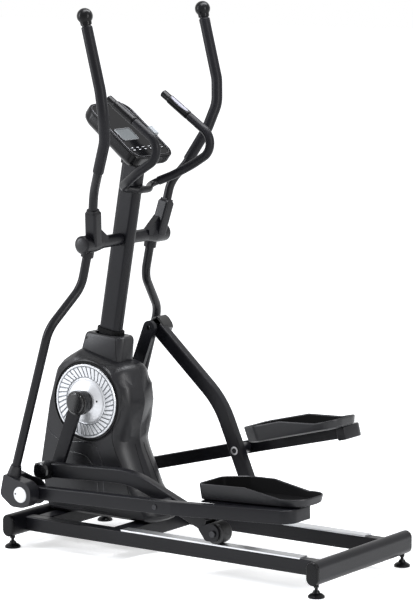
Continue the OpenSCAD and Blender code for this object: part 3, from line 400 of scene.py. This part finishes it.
def disc_rib(turn):
    """One raised rib of the disc: a leaning pad that widens outwards, with sloping sides."""
    points = []
    for lift, shrink in rib_lifts:
        for radius, lean, width in ((0.0762 + shrink, -0.5, 0.0040), (0.0790 + shrink, -0.42, 0.0047),
                                    (0.1050 - shrink, 0.42, 0.0064), (0.1080 - shrink, 0.5, 0.0056)):
            half = (width - shrink) / radius
            for edge in (-half, half):
                a = turn + rib_lean * lean + edge
                points.append(Vector((radius * math.cos(a), lift, radius * math.sin(a))))
    order = [0, 2, 4, 6, 7, 5, 3, 1]
    faces = [tuple(base + i for i in pair) for base in (0, 8) for pair in
             [(order[k], order[(k + 1) % 8], order[(k + 1) % 8] + 8, order[k] + 8) for k in range(8)]]
    return points, faces + [tuple(16 + i for i in order), tuple(reversed(order))]


hub_sleeve = [(0.0245, 0.1016), (0.0338, 0.1016), (0.0352, 0.1030), (0.0362, 0.1165), (0.0350, 0.1178),
              (0.0245, 0.1178), (0.0245, 0.1016)]


def face_outwards(piece):
    """Turns each closed shell of a piece so that its faces point out of it."""
    shell = bmesh.new()
    shell.from_mesh(piece.data)
    bmesh.ops.recalc_face_normals(shell, faces=shell.faces[:])
    shell.to_mesh(piece.data)
    shell.free()


for side, out in side_sign.items():
    points, faces = turned(disc_outline + disc_outline[:1], 96)
    shaded = len(faces)
    for k in range(rib_count):
        rib_points, rib_faces = disc_rib(math.tau * k / rib_count)
        faces += [tuple(len(points) + i for i in face) for face in rib_faces]
        points += rib_points
    if out < 0:
        faces = [tuple(reversed(f)) for f in faces]
    points = [Vector((p.x + crank.x, out * p.y, p.z + crank.z)) for p in points]
    disc = piece_from(side + "_crank_disc", points, faces, silver, "crank")
    disc.data.materials.append(painted_valley_shade)
    # Faces lying flat on the disc's face between the ribs take the darker silver, painted shade in the
    # valleys.
    for face in disc.data.polygons[:shaded]:
        heights = [abs(disc.data.vertices[i].co.y) for i in face.vertices]
        face.material_index = int(all(abs(height - disc_face) < 0.0001 for height in heights))
    face_outwards(disc)
    disc.data.set_sharp_from_angle(angle=math.radians(35.0))
    if side == "right":
        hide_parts("crank_discs")
    face_outwards(turned_piece(side + "_hub_sleeve", hub_sleeve, Vector((crank.x, 0.0, crank.z)), out,
                               satin_black, "crank", 48))
gloss_cap = finish_with("glossy_cap", (0.003, 0.003, 0.0036), 0.16, 300.0, 0.00005, rough_spread=0.04)
finished(gloss_cap, 0.0010, "hub_caps", steps=3)
cap_screw = [(0.0, 0.0004), (0.0026, 0.0004), (0.0032, 0.0), (0.0032, -0.002), (0.0, -0.002)]
pin_centre = {}
for side, out in side_sign.items():
    low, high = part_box(side + "_link_cover")
    pin_centre[side] = (Vector(low) + Vector(high)) / 2.0
    along = Vector((pin_centre[side].x - crank.x, 0.0, pin_centre[side].z - crank.z)).normalized()
    # Near-black plugs in the hub cap's screw hole and in the disc's hole: painted shade in the holes.
    for name, place in (("_hub_screw", Vector((crank.x, out * 0.1495, crank.z)) + along * 0.0265),
                        ("_disc_hole", Vector((crank.x + 0.046, out * 0.0966, crank.z + 0.004)))):
        turned_piece(side + name, cap_screw, place, out, hole_painted_shade, "crank", 16)


# ---- Swing arms: pivot sleeves, bent tubes, foot covers and pins ----
# Round tube bent twice on its way down to the foot pin, a welded sleeve on the pivot axle with a
# socket for the handle, a moulded cover at the foot and a bright cap over the pin.
def bent(corners, radii, step=5.0):
    """The path through the corners with a bend of its own radius at each one between the ends."""
    corners = [Vector(c) for c in corners]
    path = [corners[0]]
    for i in range(1, len(corners) - 1):
        radius = radii[i - 1] if isinstance(radii, (list, tuple)) else radii
        u = (corners[i] - corners[i - 1]).normalized()
        v = (corners[i + 1] - corners[i]).normalized()
        turn = math.acos(max(-1.0, min(1.0, u.dot(v))))
        inward = (v - u * u.dot(v)).normalized()
        centre = corners[i] - u * radius * math.tan(turn / 2.0) + inward * radius
        steps = max(2, math.ceil(math.degrees(turn) / step))
        for k in range(steps + 1):
            a = turn * k / steps
            path.append(centre + radius * (u * math.sin(a) - inward * math.cos(a)))
    return path + [corners[-1]]


def carried_frames(path):
    """A pair of directions across the path at each of its points, carried along without twist."""
    frames, across = [], None
    for i, here in enumerate(path):
        before = (here - path[i - 1]).normalized() if i else (path[1] - here).normalized()
        after = (path[i + 1] - here).normalized() if i + 1 < len(path) else before
        along = (before + after).normalized()
        if across is None:
            across = Vector((1.0, 0.0, 0.0)) if abs(along.x) < 0.9 else Vector((0.0, 0.0, 1.0))
        across = (across - along * across.dot(along)).normalized()
        frames.append((across, along.cross(across)))
    return frames


def tube(path, radii, segments=32):
    """Points and faces of a closed tube; radii holds one radius for each point of the path."""
    frames = carried_frames(path)
    points = [path[i] + radii[i] * (math.cos(math.tau * k / segments) * frames[i][0]
                                    + math.sin(math.tau * k / segments) * frames[i][1])
              for i in range(len(path)) for k in range(segments)]
    faces = [(i * segments + k, i * segments + (k + 1) % segments,
              (i + 1) * segments + (k + 1) % segments, (i + 1) * segments + k)
             for i in range(len(path) - 1) for k in range(segments)]
    faces.append(tuple(reversed(range(segments))))
    faces.append(tuple(range((len(path) - 1) * segments, len(path) * segments)))
    return points, faces


pivot = (Vector(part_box("swing_axle")[0]) + Vector(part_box("swing_axle")[1])) / 2.0
swing_foot = Vector((-0.1757, 0.0, -0.7801))
foot_reach = math.atan2(swing_foot.z, swing_foot.x)
swing_place = {}
for side, out in side_sign.items():
    low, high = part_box(side + "_swing_pin")
    foot = (Vector(low) + Vector(high)) / 2.0 - pivot
    turn = math.atan2(foot.z, foot.x) - foot_reach
    swing_place[side] = (Matrix.Translation(pivot) @ Matrix.Rotation(-turn, 4, "Y")
                         @ Matrix.Diagonal((1, out, 1, 1)))


def on_swing(side, name, points, faces, material, slot, *stands_for):
    """A piece given in the right-hand swing arm's own frame, put on one side of the machine."""
    place = swing_place[side]
    if side == "left":
        faces = [tuple(reversed(f)) for f in faces]
    piece = piece_from(side + "_" + name, [place @ Vector(p) for p in points], faces, material,
                       side + "_swing")
    if stands_for:
        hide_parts(*[side + "_" + node for node in stands_for])
    piece.data.set_sharp_from_angle(angle=math.radians(40.0))
    return piece


def millimetres(*values):
    """A place in metres from its x, y and z in millimetres."""
    return Vector(values) / 1000.0


tube_top = millimetres(-15, 161, -24)
tube_bends = [millimetres(-41.1, 162, -135.8), millimetres(-78.7, 279.2, -257.4)]
tube_foot = millimetres(-223.8, 279.2, -732)
tube_path = bent([tube_top.lerp(tube_bends[0], 0.01)] + tube_bends + [tube_foot], 0.09)
tube_radius = 0.014
for side in side_sign:
    points, faces = tube(tube_path, [tube_radius] * len(tube_path))
    on_swing(side, "swing_tube_bent", points, faces, powder_black, "frame_paint", "swing_tube")
finished(powder_black, 0.0012, *both_sides("swing_sleeve"), steps=3)
finished(moulded_black, 0.0022, *both_sides("swing_cover"), steps=3)
bright = finish_with("bright_cap", (0.86, 0.86, 0.86), 0.25, 300.0, 0.00005, mottle=0.03)
finished(bright, 0.0006, *both_sides("swing_pin"))
finished(steel, 0.0004, "swing_axle", "frame_bolts")
end_cap = [(0.0, 0.0058), (0.010, 0.0056), (0.018, 0.0048), (0.0222, 0.0034), (0.0235, 0.0016),
           (0.0235, 0.0004), (0.0, 0.0004)]
pin_screw = [(0.0, 0.0004), (0.0026, 0.0004), (0.0031, 0.0), (0.0031, -0.002), (0.0, -0.002)]
for side, out in side_sign.items():
    points, faces = turned(end_cap, 48)
    points = [p + Vector((0.0, 0.2110, 0.0)) for p in points]
    on_swing(side, "pivot_cap", points, faces, moulded_black, "cap_plastic")
    # A near-black plug in the pin cap's screw hole: painted shade in the hole.
    points, faces = turned(pin_screw, 16)
    points = [p + swing_foot + millimetres(-16.5, 311.6, 2.0) for p in points]
    on_swing(side, "pin_cap_screw", points, faces, hole_painted_shade, "cap_plastic")


# ---- Handles: bent tubes with foam grips and ball ends ----
# Round tube bent in several planes, pushed into the socket, with a long sleeve of closed-cell
# foam stretched over it and a moulded ball on a short collar at its end.
socket_foot, socket_top, tube_depth = millimetres(10, 164, 0), millimetres(29.4, 191.5, 109), 0.44
handle_points = [socket_foot.lerp(socket_top, tube_depth), socket_top] + [millimetres(*p) for p in (
    (39, 199, 162), (77, 230, 217), (134, 266, 325), (153, 296, 405), (148, 304, 480), (96, 306.6, 690))]
handle_path = bent(handle_points, 0.11)
foam_black = finish_with("black_foam", (0.004, 0.004, 0.0058), 0.42, 450.0, 0.0004, Specular_IOR_Level=0.17)


def resampled(path, gap):
    """The same path with points no farther apart than gap."""
    fine = [path[0]]
    for a, b in zip(path, path[1:]):
        steps = max(1, math.ceil((b - a).length / gap))
        fine += [a.lerp(b, k / steps) for k in range(1, steps + 1)]
    return fine


def foam_sleeve(path, outer, inner, segments=32):
    """A foam sleeve: rolled ends, a slight swell along its length, and a bore for its tube."""
    path = resampled(path, 0.012)
    travelled = [0.0]
    for a, b in zip(path, path[1:]):
        travelled.append(travelled[-1] + (b - a).length)
    length, roll = travelled[-1], 0.0035
    ends = [roll * (1.0 - math.cos(math.radians(a))) for a in (20.0, 45.0, 70.0, 90.0)]
    stations = sorted(set([0.0, length] + ends + [length - e for e in ends] + travelled[1:-1]))
    line, radii = [], []
    for s in stations:
        i = max(k for k in range(len(path) - 1) if travelled[k] <= s + 1e-9)
        line.append(path[i].lerp(path[i + 1], (s - travelled[i]) / (travelled[i + 1] - travelled[i])))
        rest = min(s, length - s)
        shoulder = roll * math.sqrt(max(0.0, 1.0 - ((roll - rest) / roll) ** 2)) if rest < roll else roll
        swell = 0.0003 * math.sin(math.pi * s / length)
        radii.append(outer - 0.0004 - roll + shoulder + swell)
    frames = carried_frames(line)
    rings = list(zip(line, frames, radii)) + [(p, f, inner) for p, f in reversed(list(zip(line, frames)))]
    points = [p + r * (math.cos(math.tau * k / segments) * f[0] + math.sin(math.tau * k / segments) * f[1])
              for p, f, r in rings for k in range(segments)]
    count = len(rings)
    faces = [(i * segments + k, i * segments + (k + 1) % segments,
              (i + 1) % count * segments + (k + 1) % segments, (i + 1) % count * segments + k)
             for i in range(count) for k in range(segments)]
    return points, faces


foam_points = ([handle_points[3].lerp(handle_points[4], 0.1)] + handle_points[4:7]
               + [handle_points[6].lerp(handle_points[7], 0.9)])
foam_path = bent(foam_points, 0.11)
ball_collar = handle_points[6].lerp(handle_points[7], 0.907)
ball_centre = millimetres(95, 306.6, 699)
ball_radius = 0.024
ball_outline = [(0.0, ball_radius)]
ball_outline += [(ball_radius * math.sin(a), ball_radius * math.cos(a))
                 for a in map(math.radians, range(10, 131, 8))]
ball_outline += [(0.0176, -0.0170), (0.0174, -0.0205), (0.0171, -0.0262), (0.0160, -0.0272), (0.0, -0.0272)]
for side in side_sign:
    points, faces = tube(handle_path, [tube_radius] * len(handle_path))
    on_swing(side, "handle_tube_bent", points, faces, powder_black, "frame_paint", "handle_tube")
    points, faces = foam_sleeve(foam_path, outer=0.0175, inner=0.0142)
    grip = on_swing(side, "handle_foam", points, faces, foam_black, "foam", "handle_grip")
    points, faces = turned(ball_outline, 48)
    upright = (ball_centre - ball_collar).normalized().to_track_quat("Y", "X").to_matrix()
    points = [ball_centre + upright @ p for p in points]
    on_swing(side, "handle_ball_turned", points, faces, satin_black, "cap_plastic", "handle_ball")


# ---- Pedal arms and footplates ----
# Box tubes bent inwards under the feet, each with a moulded tray whose rim is high round the
# toe and lower round the heel, and a fine anti-slip grain on its floor.
def rounded(corners, steps=8):
    """An outline of (x, y) with a round at each corner, from (x, y, radius)."""
    outline = []
    for i, (x, y, radius) in enumerate(corners):
        here = Vector((x, y))
        back = (Vector(corners[i - 1][:2]) - here).normalized()
        on = (Vector(corners[(i + 1) % len(corners)][:2]) - here).normalized()
        half = math.acos(max(-1.0, min(1.0, back.dot(on)))) / 2.0
        middle = here + (back + on).normalized() * radius / math.sin(half)
        first = here + back * radius / math.tan(half) - middle
        last = here + on * radius / math.tan(half) - middle
        a = math.atan2(first.y, first.x)
        sweep = (math.atan2(last.y, last.x) - a + 3.0 * math.pi) % math.tau - math.pi
        outline += [(middle.x + radius * math.cos(a + sweep * k / steps),
                     middle.y + radius * math.sin(a + sweep * k / steps)) for k in range(steps + 1)]
    return outline


def grown(outline, d):
    """An anticlockwise outline moved outwards by d."""
    moved = []
    for i, (x, y) in enumerate(outline):
        run = Vector(outline[(i + 1) % len(outline)]) - Vector(outline[i - 1])
        run.normalize()
        moved.append((x + d * run.y, y - d * run.x))
    return moved


def loft(rings):
    """A closed skin over a stack of rings with as many points each."""
    n = len(rings[0])
    points = [Vector(p) for ring in rings for p in ring]
    faces = [(i * n + k, i * n + (k + 1) % n, (i + 1) * n + (k + 1) % n, (i + 1) * n + k)
             for i in range(len(rings) - 1) for k in range(n)]
    return points, faces + [tuple(reversed(range(n))), tuple(range((len(rings) - 1) * n, len(rings) * n))]


joint_at = {joint["name"]: Vector(joint["pos_m"]) for joint in frame["joints"]}


def arm_place(origin, towards, out, reverse=False):
    """The frame of an arm: at origin, its X axis along the line to or from another pivot."""
    run = (origin - towards) if reverse else (towards - origin)
    turn = math.atan2(run.z, run.x)
    return (Matrix.Translation(Vector((origin.x, 0.0, origin.z))) @ Matrix.Rotation(-turn, 4, "Y")
            @ Matrix.Diagonal((1, out, 1, 1)))


def on_arm(side, place, name, points, faces, material, body, slot, *stands_for, sharp=40.0):
    """A piece given in a right-hand arm's frame in millimetres, put on one side."""
    if side == "left":
        faces = [tuple(reversed(f)) for f in faces]
    piece = piece_from(side + "_" + name, [place @ (Vector(p) / 1000.0) for p in points], faces, material,
                       side + "_" + body)
    piece.data.set_sharp_from_angle(angle=math.radians(sharp))
    if stands_for:
        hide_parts(*[side + "_" + node for node in stands_for])
    return piece


arm_height = 41.2
arm_plan = rounded([(-503.7, 234.5, 4), (60, 234.5, 60), (427, 190, 14), (427, 105, 5), (458, 105, 5),
                    (458, 217, 45), (60, 265.5, 60), (-503.7, 265.5, 4)], 8)
arm_round = 3.4
arm_rings = []
for half, degrees in ((-1, (90.0, 67.5, 45.0, 22.5, 0.0)), (1, (0.0, 22.5, 45.0, 67.5, 90.0))):
    for a in map(math.radians, degrees):
        z = half * (arm_height / 2.0 - arm_round * (1.0 - math.sin(a)))
        inset = arm_round * (1.0 - math.cos(a))
        arm_rings.append([(x, y, z) for x, y in grown(arm_plan, -inset)])
bracket_plan = rounded([(127, 105, 6), (448, 105, 6), (448, 205, 20), (127, 205, 6)], 4)
bracket_rings = [[(x, y, z) for x, y in bracket_plan] for z in (16.6, 20.4)]
foot_black = finish_with("black_footplate", (0.0055, 0.0055, 0.0072), 0.38, 600.0, 0.0005,
                         Specular_IOR_Level=0.36)
# Near-black, rough paint on the tray's floor and inner walls: painted shade inside the tray, over the floor's
# fine grain.
tray_painted_shade = finish_with("ribbed_tray_floor", (0.0012, 0.0012, 0.0014), 0.62, 350.0, 0.0005,
                         Specular_IOR_Level=0.08)
finished(foot_black, 0.0014, *both_sides("footplate"), steps=3, sharp=25.0)
plate_middle, plate_floor = Vector((0.305, 0.116, 0.0)), 0.0208
for side, out in side_sign.items():
    hinge = joint_at[side + "_link_turn"]
    place = arm_place(hinge, joint_at[side + "_pedal_turn"], out, reverse=True)
    on_arm(side, place, "pedal_arm_tube", *loft(arm_rings), powder_black, "pedal", "frame_paint", "pedal_arm")
    on_arm(side, place, "pedal_bracket", *loft(bracket_rings), powder_black, "pedal", "frame_paint")
    tray = bpy.data.objects[side + "_footplate_finished"]
    tray.data.materials.append(tray_painted_shade)
    to_arm = place.inverted() @ tray.matrix_world
    # Faces of the tray's floor and of its walls facing into the tray take the painted shade.
    for face in tray.data.polygons:
        here = to_arm @ face.center
        facing = (to_arm.to_3x3() @ face.normal).normalized()
        shaded_floor_face = facing.z > 0.7 and here.z < plate_floor + 0.012
        inner_face = abs(facing.z) < 0.5 and facing.dot(plate_middle - here) > 0.0
        shaded_wall_face = inner_face and here.z > plate_floor + 0.002
        face.material_index = int(shaded_floor_face or shaded_wall_face)


# ---- Connecting arms, their covers, pins and rollers ----
# Box tubes bent down past the pedal pivot to a fork round the roller, a glossy moulded cover on
# the crank pin, dark bolts with a bright washer at the pedal pivot, and hard rubber rollers.
link_y, link_length, roller_reach, link_bend = 176.0, 478.1, 190.1, math.radians(16.24)
link_end = Vector((link_length + roller_reach * math.cos(link_bend), link_y,
                   -roller_reach * math.sin(link_bend)))
arm_start, bend_at = Vector((8, link_y, 0)), Vector((326, link_y, 46))
run = (link_end - bend_at).normalized()
web_back, plate_thick = 43.4, 5.0
link_path = bent([arm_start, bend_at, link_end - run * web_back], 280.0)
link_section = rounded([(22.5, 16, 5), (-22.5, 16, 5), (-22.5, -16, 5), (22.5, -16, 5)], 6)


def swept(path, section):
    """A section carried along a path in one vertical plane: its x is up, its y across."""
    rings = []
    for i, here in enumerate(path):
        before = (here - path[i - 1]).normalized() if i else (path[1] - here).normalized()
        after = (path[i + 1] - here).normalized() if i + 1 < len(path) else before
        along = (before + after).normalized()
        up = Vector((-along.z, 0.0, along.x))
        rings.append([here + q[0] * up + q[1] * along.cross(up) for q in section])
    return loft(rings)


def extruded(outline, y0, y1, edge=0.8):
    """An outline of (x, z) extruded along Y with its two rims chamfered."""
    inner = grown(outline, -edge)
    return loft([[(x, y, z) for x, z in reversed(ring)]
                 for ring, y in ((inner, y0), (outline, y0 + edge), (outline, y1 - edge), (inner, y1))])


def at_roller(outline, turn):
    """An (x, z) outline turned by an angle about the roller's centre and put there."""
    return [(link_end.x + x * math.cos(turn) - z * math.sin(turn),
             link_end.z + x * math.sin(turn) + z * math.cos(turn)) for x, z in outline]


fork_corners = [(-48, 34, 6), (-36, -12, 10), (8, -30, 24), (30, 14, 26), (0, 34, 20)]
fork_plan = at_roller(rounded(fork_corners, 8), math.radians(45.0) - link_bend)
web_front = plate_thick - web_back
web_corners = [(-web_back, -22, 1), (web_front, -22, 1), (web_front, 22, 1), (-web_back, 22, 1)]
web_plan = at_roller(rounded(web_corners, 2), -link_bend)
fork_plates = [("inner_fork_plate", 145), ("outer_fork_plate", 206)]
boss = [(0.0, link_y), (17.0, link_y), (17.0, 232.6), (15.8, 234.2), (0.0, 234.2)]
for side, out in side_sign.items():
    place = arm_place(pin_centre[side], joint_at[side + "_link_turn"], out)
    on_arm(side, place, "link_tube", *swept(link_path, link_section), powder_black, "link", "frame_paint",
           "link_arm")
    points, faces = turned(boss, 40)
    face_outwards(on_arm(side, place, "link_boss", [p + Vector((link_length, 0, 0)) for p in points], faces,
                         powder_black, "link", "frame_paint"))
    for name, y in fork_plates:
        on_arm(side, place, name, *extruded(fork_plan, y, y + plate_thick), powder_black, "link",
               "frame_paint", sharp=30.0)
    web = extruded(web_plan, fork_plates[0][1] + plate_thick, fork_plates[1][1], 0.3)
    on_arm(side, place, "fork_web", *web, powder_black, "link", "frame_paint")
finished(gloss_cap, 0.0014, *both_sides("link_cover"), steps=3)
dark_bolt = finish_with("blackened_bolt", (0.03, 0.03, 0.033), 0.38, 400.0, 0.0001, metal=0.7)
finished(dark_bolt, 0.0008, *both_sides("link_pins"))
finished(rubber, 0.0012, *both_sides("roller"), steps=3)
washer = [(0.0085, 0.0016), (0.0125, 0.0016), (0.0132, 0.0010), (0.0132, 0.0), (0.0085, 0.0)]
for side, out in side_sign.items():
    pivot_pin = joint_at[side + "_link_turn"]
    place = Vector((pivot_pin.x, out * 0.1598, pivot_pin.z))
    points, faces = turned(washer + washer[:1], 32)
    faces = faces if out < 0 else [tuple(reversed(f)) for f in faces]
    piece_from(side + "_pivot_washer", [Vector((p.x, -out * p.y, p.z)) + place for p in points], faces, steel,
               side + "_link")


# ---- Seams and raised lips of the drive housing ----
# Fine dark joints between the moulded shells, a near-black ring of painted shade in the gap round the disc,
# and lips painted lighter along the edges of the low relief as a painted highlight, each laid on the
# housing's own surface as a thin sweep half sunk in it.
# Near-black paint for the shells' dark joints and, round the disc, for painted shade in the gap.
seam_and_gap_shade = finish_with("shell_joint", (0.0012, 0.0012, 0.0014), 0.5, 300.0, 0.00005, Specular_IOR_Level=0.1)
# A lighter, glossier paint on the raised relief lips: a painted highlight along the step edges.
lip_painted_highlight = finish_with("polished_lip", (0.02, 0.02, 0.024), 0.2, 300.0, 0.00003, Specular_IOR_Level=0.6)


def laid_on(shell, points, towards):
    """A line through (x, z) or (y, z) points in millimetres, dropped on a shell along Y or X."""
    line = resampled([Vector((a, 0.0, b)) / 1000.0 for a, b in points], 0.003)
    for _ in range(6):
        eased = [(a + 2.0 * b + c) / 4.0 for a, b, c in zip(line, line[1:], line[2:])]
        line = [line[0]] + eased + [line[-1]]
    landed = []
    for p in line:
        here = Vector((p.x, 0.0, p.z)) if towards.y else Vector((0.0, p.x, p.z))
        hit, place, _, _ = shell.ray_cast(here - towards * 0.5, towards)
        if hit:
            landed.append(place)
    return landed


side_seam = [(-286, 390), (-290, 372), (-290.7, 354.8), (-286, 335), (-278.2, 313), (-259.7, 277.6),
             (-250.8, 259.8), (-243, 240), (-232, 205), (-222, 170)]
relief_lips = [
    [(-470, 322), (-452.8, 326), (-410, 331), (-375.6, 329), (-348.9, 315.8), (-335.8, 285), (-329.4, 261.6),
     (-327, 240), (-326, 175)],
    [(-480, 296), (-464, 294.7), (-426.5, 292.4), (-395.9, 289), (-377.6, 269), (-367.4, 259.5), (-358, 240),
     (-352, 210), (-350, 175)],
    [(-552, 372), (-540.3, 354.4), (-525, 340), (-510, 330.7), (-490, 324)]]
rear_seam = [(22, 330), (22, 317), (24, 288), (26, 257), (28, 225), (30, 180)]
neck_joint = [(-311, 664), (-309, 640), (-306.5, 600), (-306, 590)]
# A near-black ring laid round the disc: painted shade in the gap between the disc and the housing.
ring_radius, ring_steps = 124.5, 90
disc_gap_painted_shade = [(crank.x * 1000.0 + ring_radius * math.cos(math.tau * k / ring_steps),
                  crank.z * 1000.0 + ring_radius * math.sin(math.tau * k / ring_steps))
                 for k in range(ring_steps + 1)]
neck = bpy.data.objects["neck_cover_finished"]
forwards = Vector((-1.0, 0.0, 0.0))
for side, out in side_sign.items():
    shell = bpy.data.objects[side + "_housing_finished"]
    inward = Vector((0.0, -out, 0.0))
    across_rear = [(out * y, z) for y, z in rear_seam]
    lines = [("side_seam", laid_on(shell, side_seam, inward), 0.0010, seam_and_gap_shade),
             ("rear_seam", laid_on(shell, across_rear, forwards), 0.0009, seam_and_gap_shade)]
    lines += [("relief_lip_%d" % k, laid_on(shell, lip, inward), 0.0011, lip_painted_highlight)
              for k, lip in enumerate(relief_lips)]
    lines += [("disc_gap_painted_shade", laid_on(shell, disc_gap_painted_shade, inward), 0.0022, seam_and_gap_shade),
              ("neck_joint", laid_on(neck, neck_joint, inward), 0.0008, seam_and_gap_shade)]
    for name, line, thickness, material in lines:
        if len(line) > 2:
            points, faces = tube(line, [thickness] * len(line), 10)
            piece_from(side + "_" + name, points, faces, material, "root")


# ---- Fixed handlebar: bent tube, foam and pulse grips ----
# One round tube welded in a saddle behind the mast, bent outwards, back and up to two bars whose
# ends carry black pulse grips with polished plates let in; foam covers the bends.
seat = Vector((-0.2225, 0.0, 1.1279))
bar_corners = [seat] + [seat + millimetres(*p) for p in (
    (0, 26, 0), (-35.5, 74, 8), (24.5, 114, 36), (82.5, 138, 70), (191, 140, 136.5), (-27, 140, 285.7))]
bar_arm = bent(bar_corners, [0.034, 0.028, 0.12, 0.12, 0.05])
bar_radius = 0.011
mirrored = [Vector((p.x, -p.y, p.z)) for p in reversed(bar_arm[1:])]
points, faces = tube(mirrored + bar_arm[1:], [bar_radius] * (2 * len(bar_arm) - 2))
bar = piece_from("handlebar_bent", points, faces, powder_black, "root")
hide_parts("handlebar")
bar.data.set_sharp_from_angle(angle=math.radians(40.0))
bar_end = bar_corners[-1]
down_bar = (bar_corners[-2] - bar_end).normalized()
foam_edge = seat + millimetres(-10, 90, 19)
foam_start = min(range(len(bar_arm)), key=lambda i: (bar_arm[i] - foam_edge).length)
bar_foam_path = bar_arm[foam_start:-1] + [bar_end + down_bar * 0.116]
for side, out in side_sign.items():
    points, faces = foam_sleeve(bar_foam_path, outer=0.014, inner=0.0113)
    if out < 0:
        faces = [tuple(reversed(f)) for f in faces]
    foam = piece_from(side + "_handlebar_foam", [Vector((p.x, out * p.y, p.z)) for p in points], faces,
                      foam_black, "root")
    if side == "right":
        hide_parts("handlebar_grips")
finished(satin_black, 0.0006, "pulse_grips")
chrome = finish_with("pulse_plate_steel", (0.07, 0.07, 0.08), 0.35, 300.0, 0.00005, metal=1.0, mottle=0.04)
finished(chrome, 0.0004, "pulse_plates")


# ---- Console ----
# A moulded tray with a thin bright line round its lip, a painted highlight, a glossy panel with six keys
# under it, a small display in a silver frame and a grey clip over the edge. Keys carry plain bars, no
# lettering.
gloss_black = finish_with("gloss_black_console", (0.0025, 0.0025, 0.003), 0.1, 60.0, 0.00003,
                          rough_spread=0.03, Specular_IOR_Level=0.09)
finished(satin_black, 0.0010, "console_back", steps=3)
finished(gloss_black, 0.0006, "console_front")
display_grey = finish_with("display_window", (0.085, 0.093, 0.096), 0.35, 80.0, 0.00002, mottle=0.12,
                           Specular_IOR_Level=0.1)
finished(display_grey, 0.0004, "display_window")
swing_pivot, mast_up = joint_at["left_swing_turn"], 0.270
mast_lean, console_tilt = math.radians(10.1), math.radians(38.6)
console_middle = Vector((swing_pivot.x + mast_up * math.sin(mast_lean) - 0.018, 0.0,
                         swing_pivot.z + mast_up * math.cos(mast_lean) + 0.074))
on_console = Matrix.Translation(console_middle) @ Matrix.Rotation(console_tilt, 4, "Y")


def panel_piece(name, points, faces, material):
    """A thin piece on the console's face, from points in millimetres in the face's own frame."""
    points = [on_console @ (p / 1000.0) for p in points]
    piece = piece_from(name, points, faces, material, "root")
    piece.data.set_sharp_from_angle(angle=math.radians(30.0))
    return piece


def box_outline(x, y, length, width, radius):
    """A rounded box in (x, y) about a centre, with its length along x."""
    return rounded([(x + length / 2, y + width / 2, radius), (x - length / 2, y + width / 2, radius),
                    (x - length / 2, y - width / 2, radius), (x + length / 2, y - width / 2, radius)], 5)


frame_outer, frame_inner = box_outline(18, -38, 54, 80, 9), box_outline(18, -38, 46.6, 72.6, 7.2)
display_frame = [[(x, y, z) for x, y in ring] for ring, z in (
    (frame_inner, -1.2), (frame_outer, -1.2), (frame_outer, 0.2), (grown(frame_outer, -0.8), 0.9),
    (frame_inner, 0.9), (frame_inner, -1.2))]
display_silver = finish_with("display_frame_silver", (0.10, 0.105, 0.11), 0.35, 300.0, 0.00005, metal=0.6,
                             mottle=0.05)
points, faces = loft(display_frame)
panel_piece("display_frame", points, faces[:-2], display_silver)
# A thin bright metal strip round the panel's lip: a painted highlight along the tray's lip.
lip_highlight_paint = finish_with("bright_console_lip", (0.07, 0.07, 0.075), 0.35, 300.0, 0.00002, metal=0.8, mottle=0.1)
to_face = on_console.inverted() @ parts["console_front"].matrix_world
face_corners = [to_face @ v.co * 1000.0 for v in parts["console_front"].data.vertices]
face_x, face_y = ([p[axis] for p in face_corners] for axis in (0, 1))
lip_inset, lip_corner, lip_radius = 6.0, 34.0, 0.0012
lip_outline = box_outline((max(face_x) + min(face_x)) / 2.0, 0.0, max(face_x) - min(face_x) - lip_inset,
                          max(face_y) - min(face_y) - lip_inset, lip_corner)
lip_path = [on_console @ (Vector((x, y, 0.0)) / 1000.0) for x, y in lip_outline + lip_outline[:1]]
lip_path = resampled(lip_path, 0.008)
points, faces = tube(lip_path, [lip_radius] * len(lip_path), 12)
piece_from("console_lip_highlight_strip", points, faces, lip_highlight_paint, "root")
key_ink = finish_with("pale_key_ink", (0.55, 0.56, 0.58), 0.5, 200.0, 0.00005)
key_gap, key_count, mark_height = 28.0, 6, 0.2
for row, (x, length, width, top) in enumerate(((88.0, 2.0, 10.0, -0.06), (77.0, 1.4, 12.0, -1.28))):
    for key in range(key_count):
        outline = box_outline(x, (key - (key_count - 1) / 2.0) * key_gap, length, width, 0.6)
        mark = loft([[(px, py, z) for px, py in outline] for z in (top, top + mark_height)])
        panel_piece("key_mark_%d_%d" % (row, key), *mark, key_ink)
clip_grey = finish_with("grey_clip", (0.33, 0.35, 0.37), 0.35, 300.0, 0.0001)
finished(clip_grey, 0.0006, "side_clip")

low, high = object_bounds()
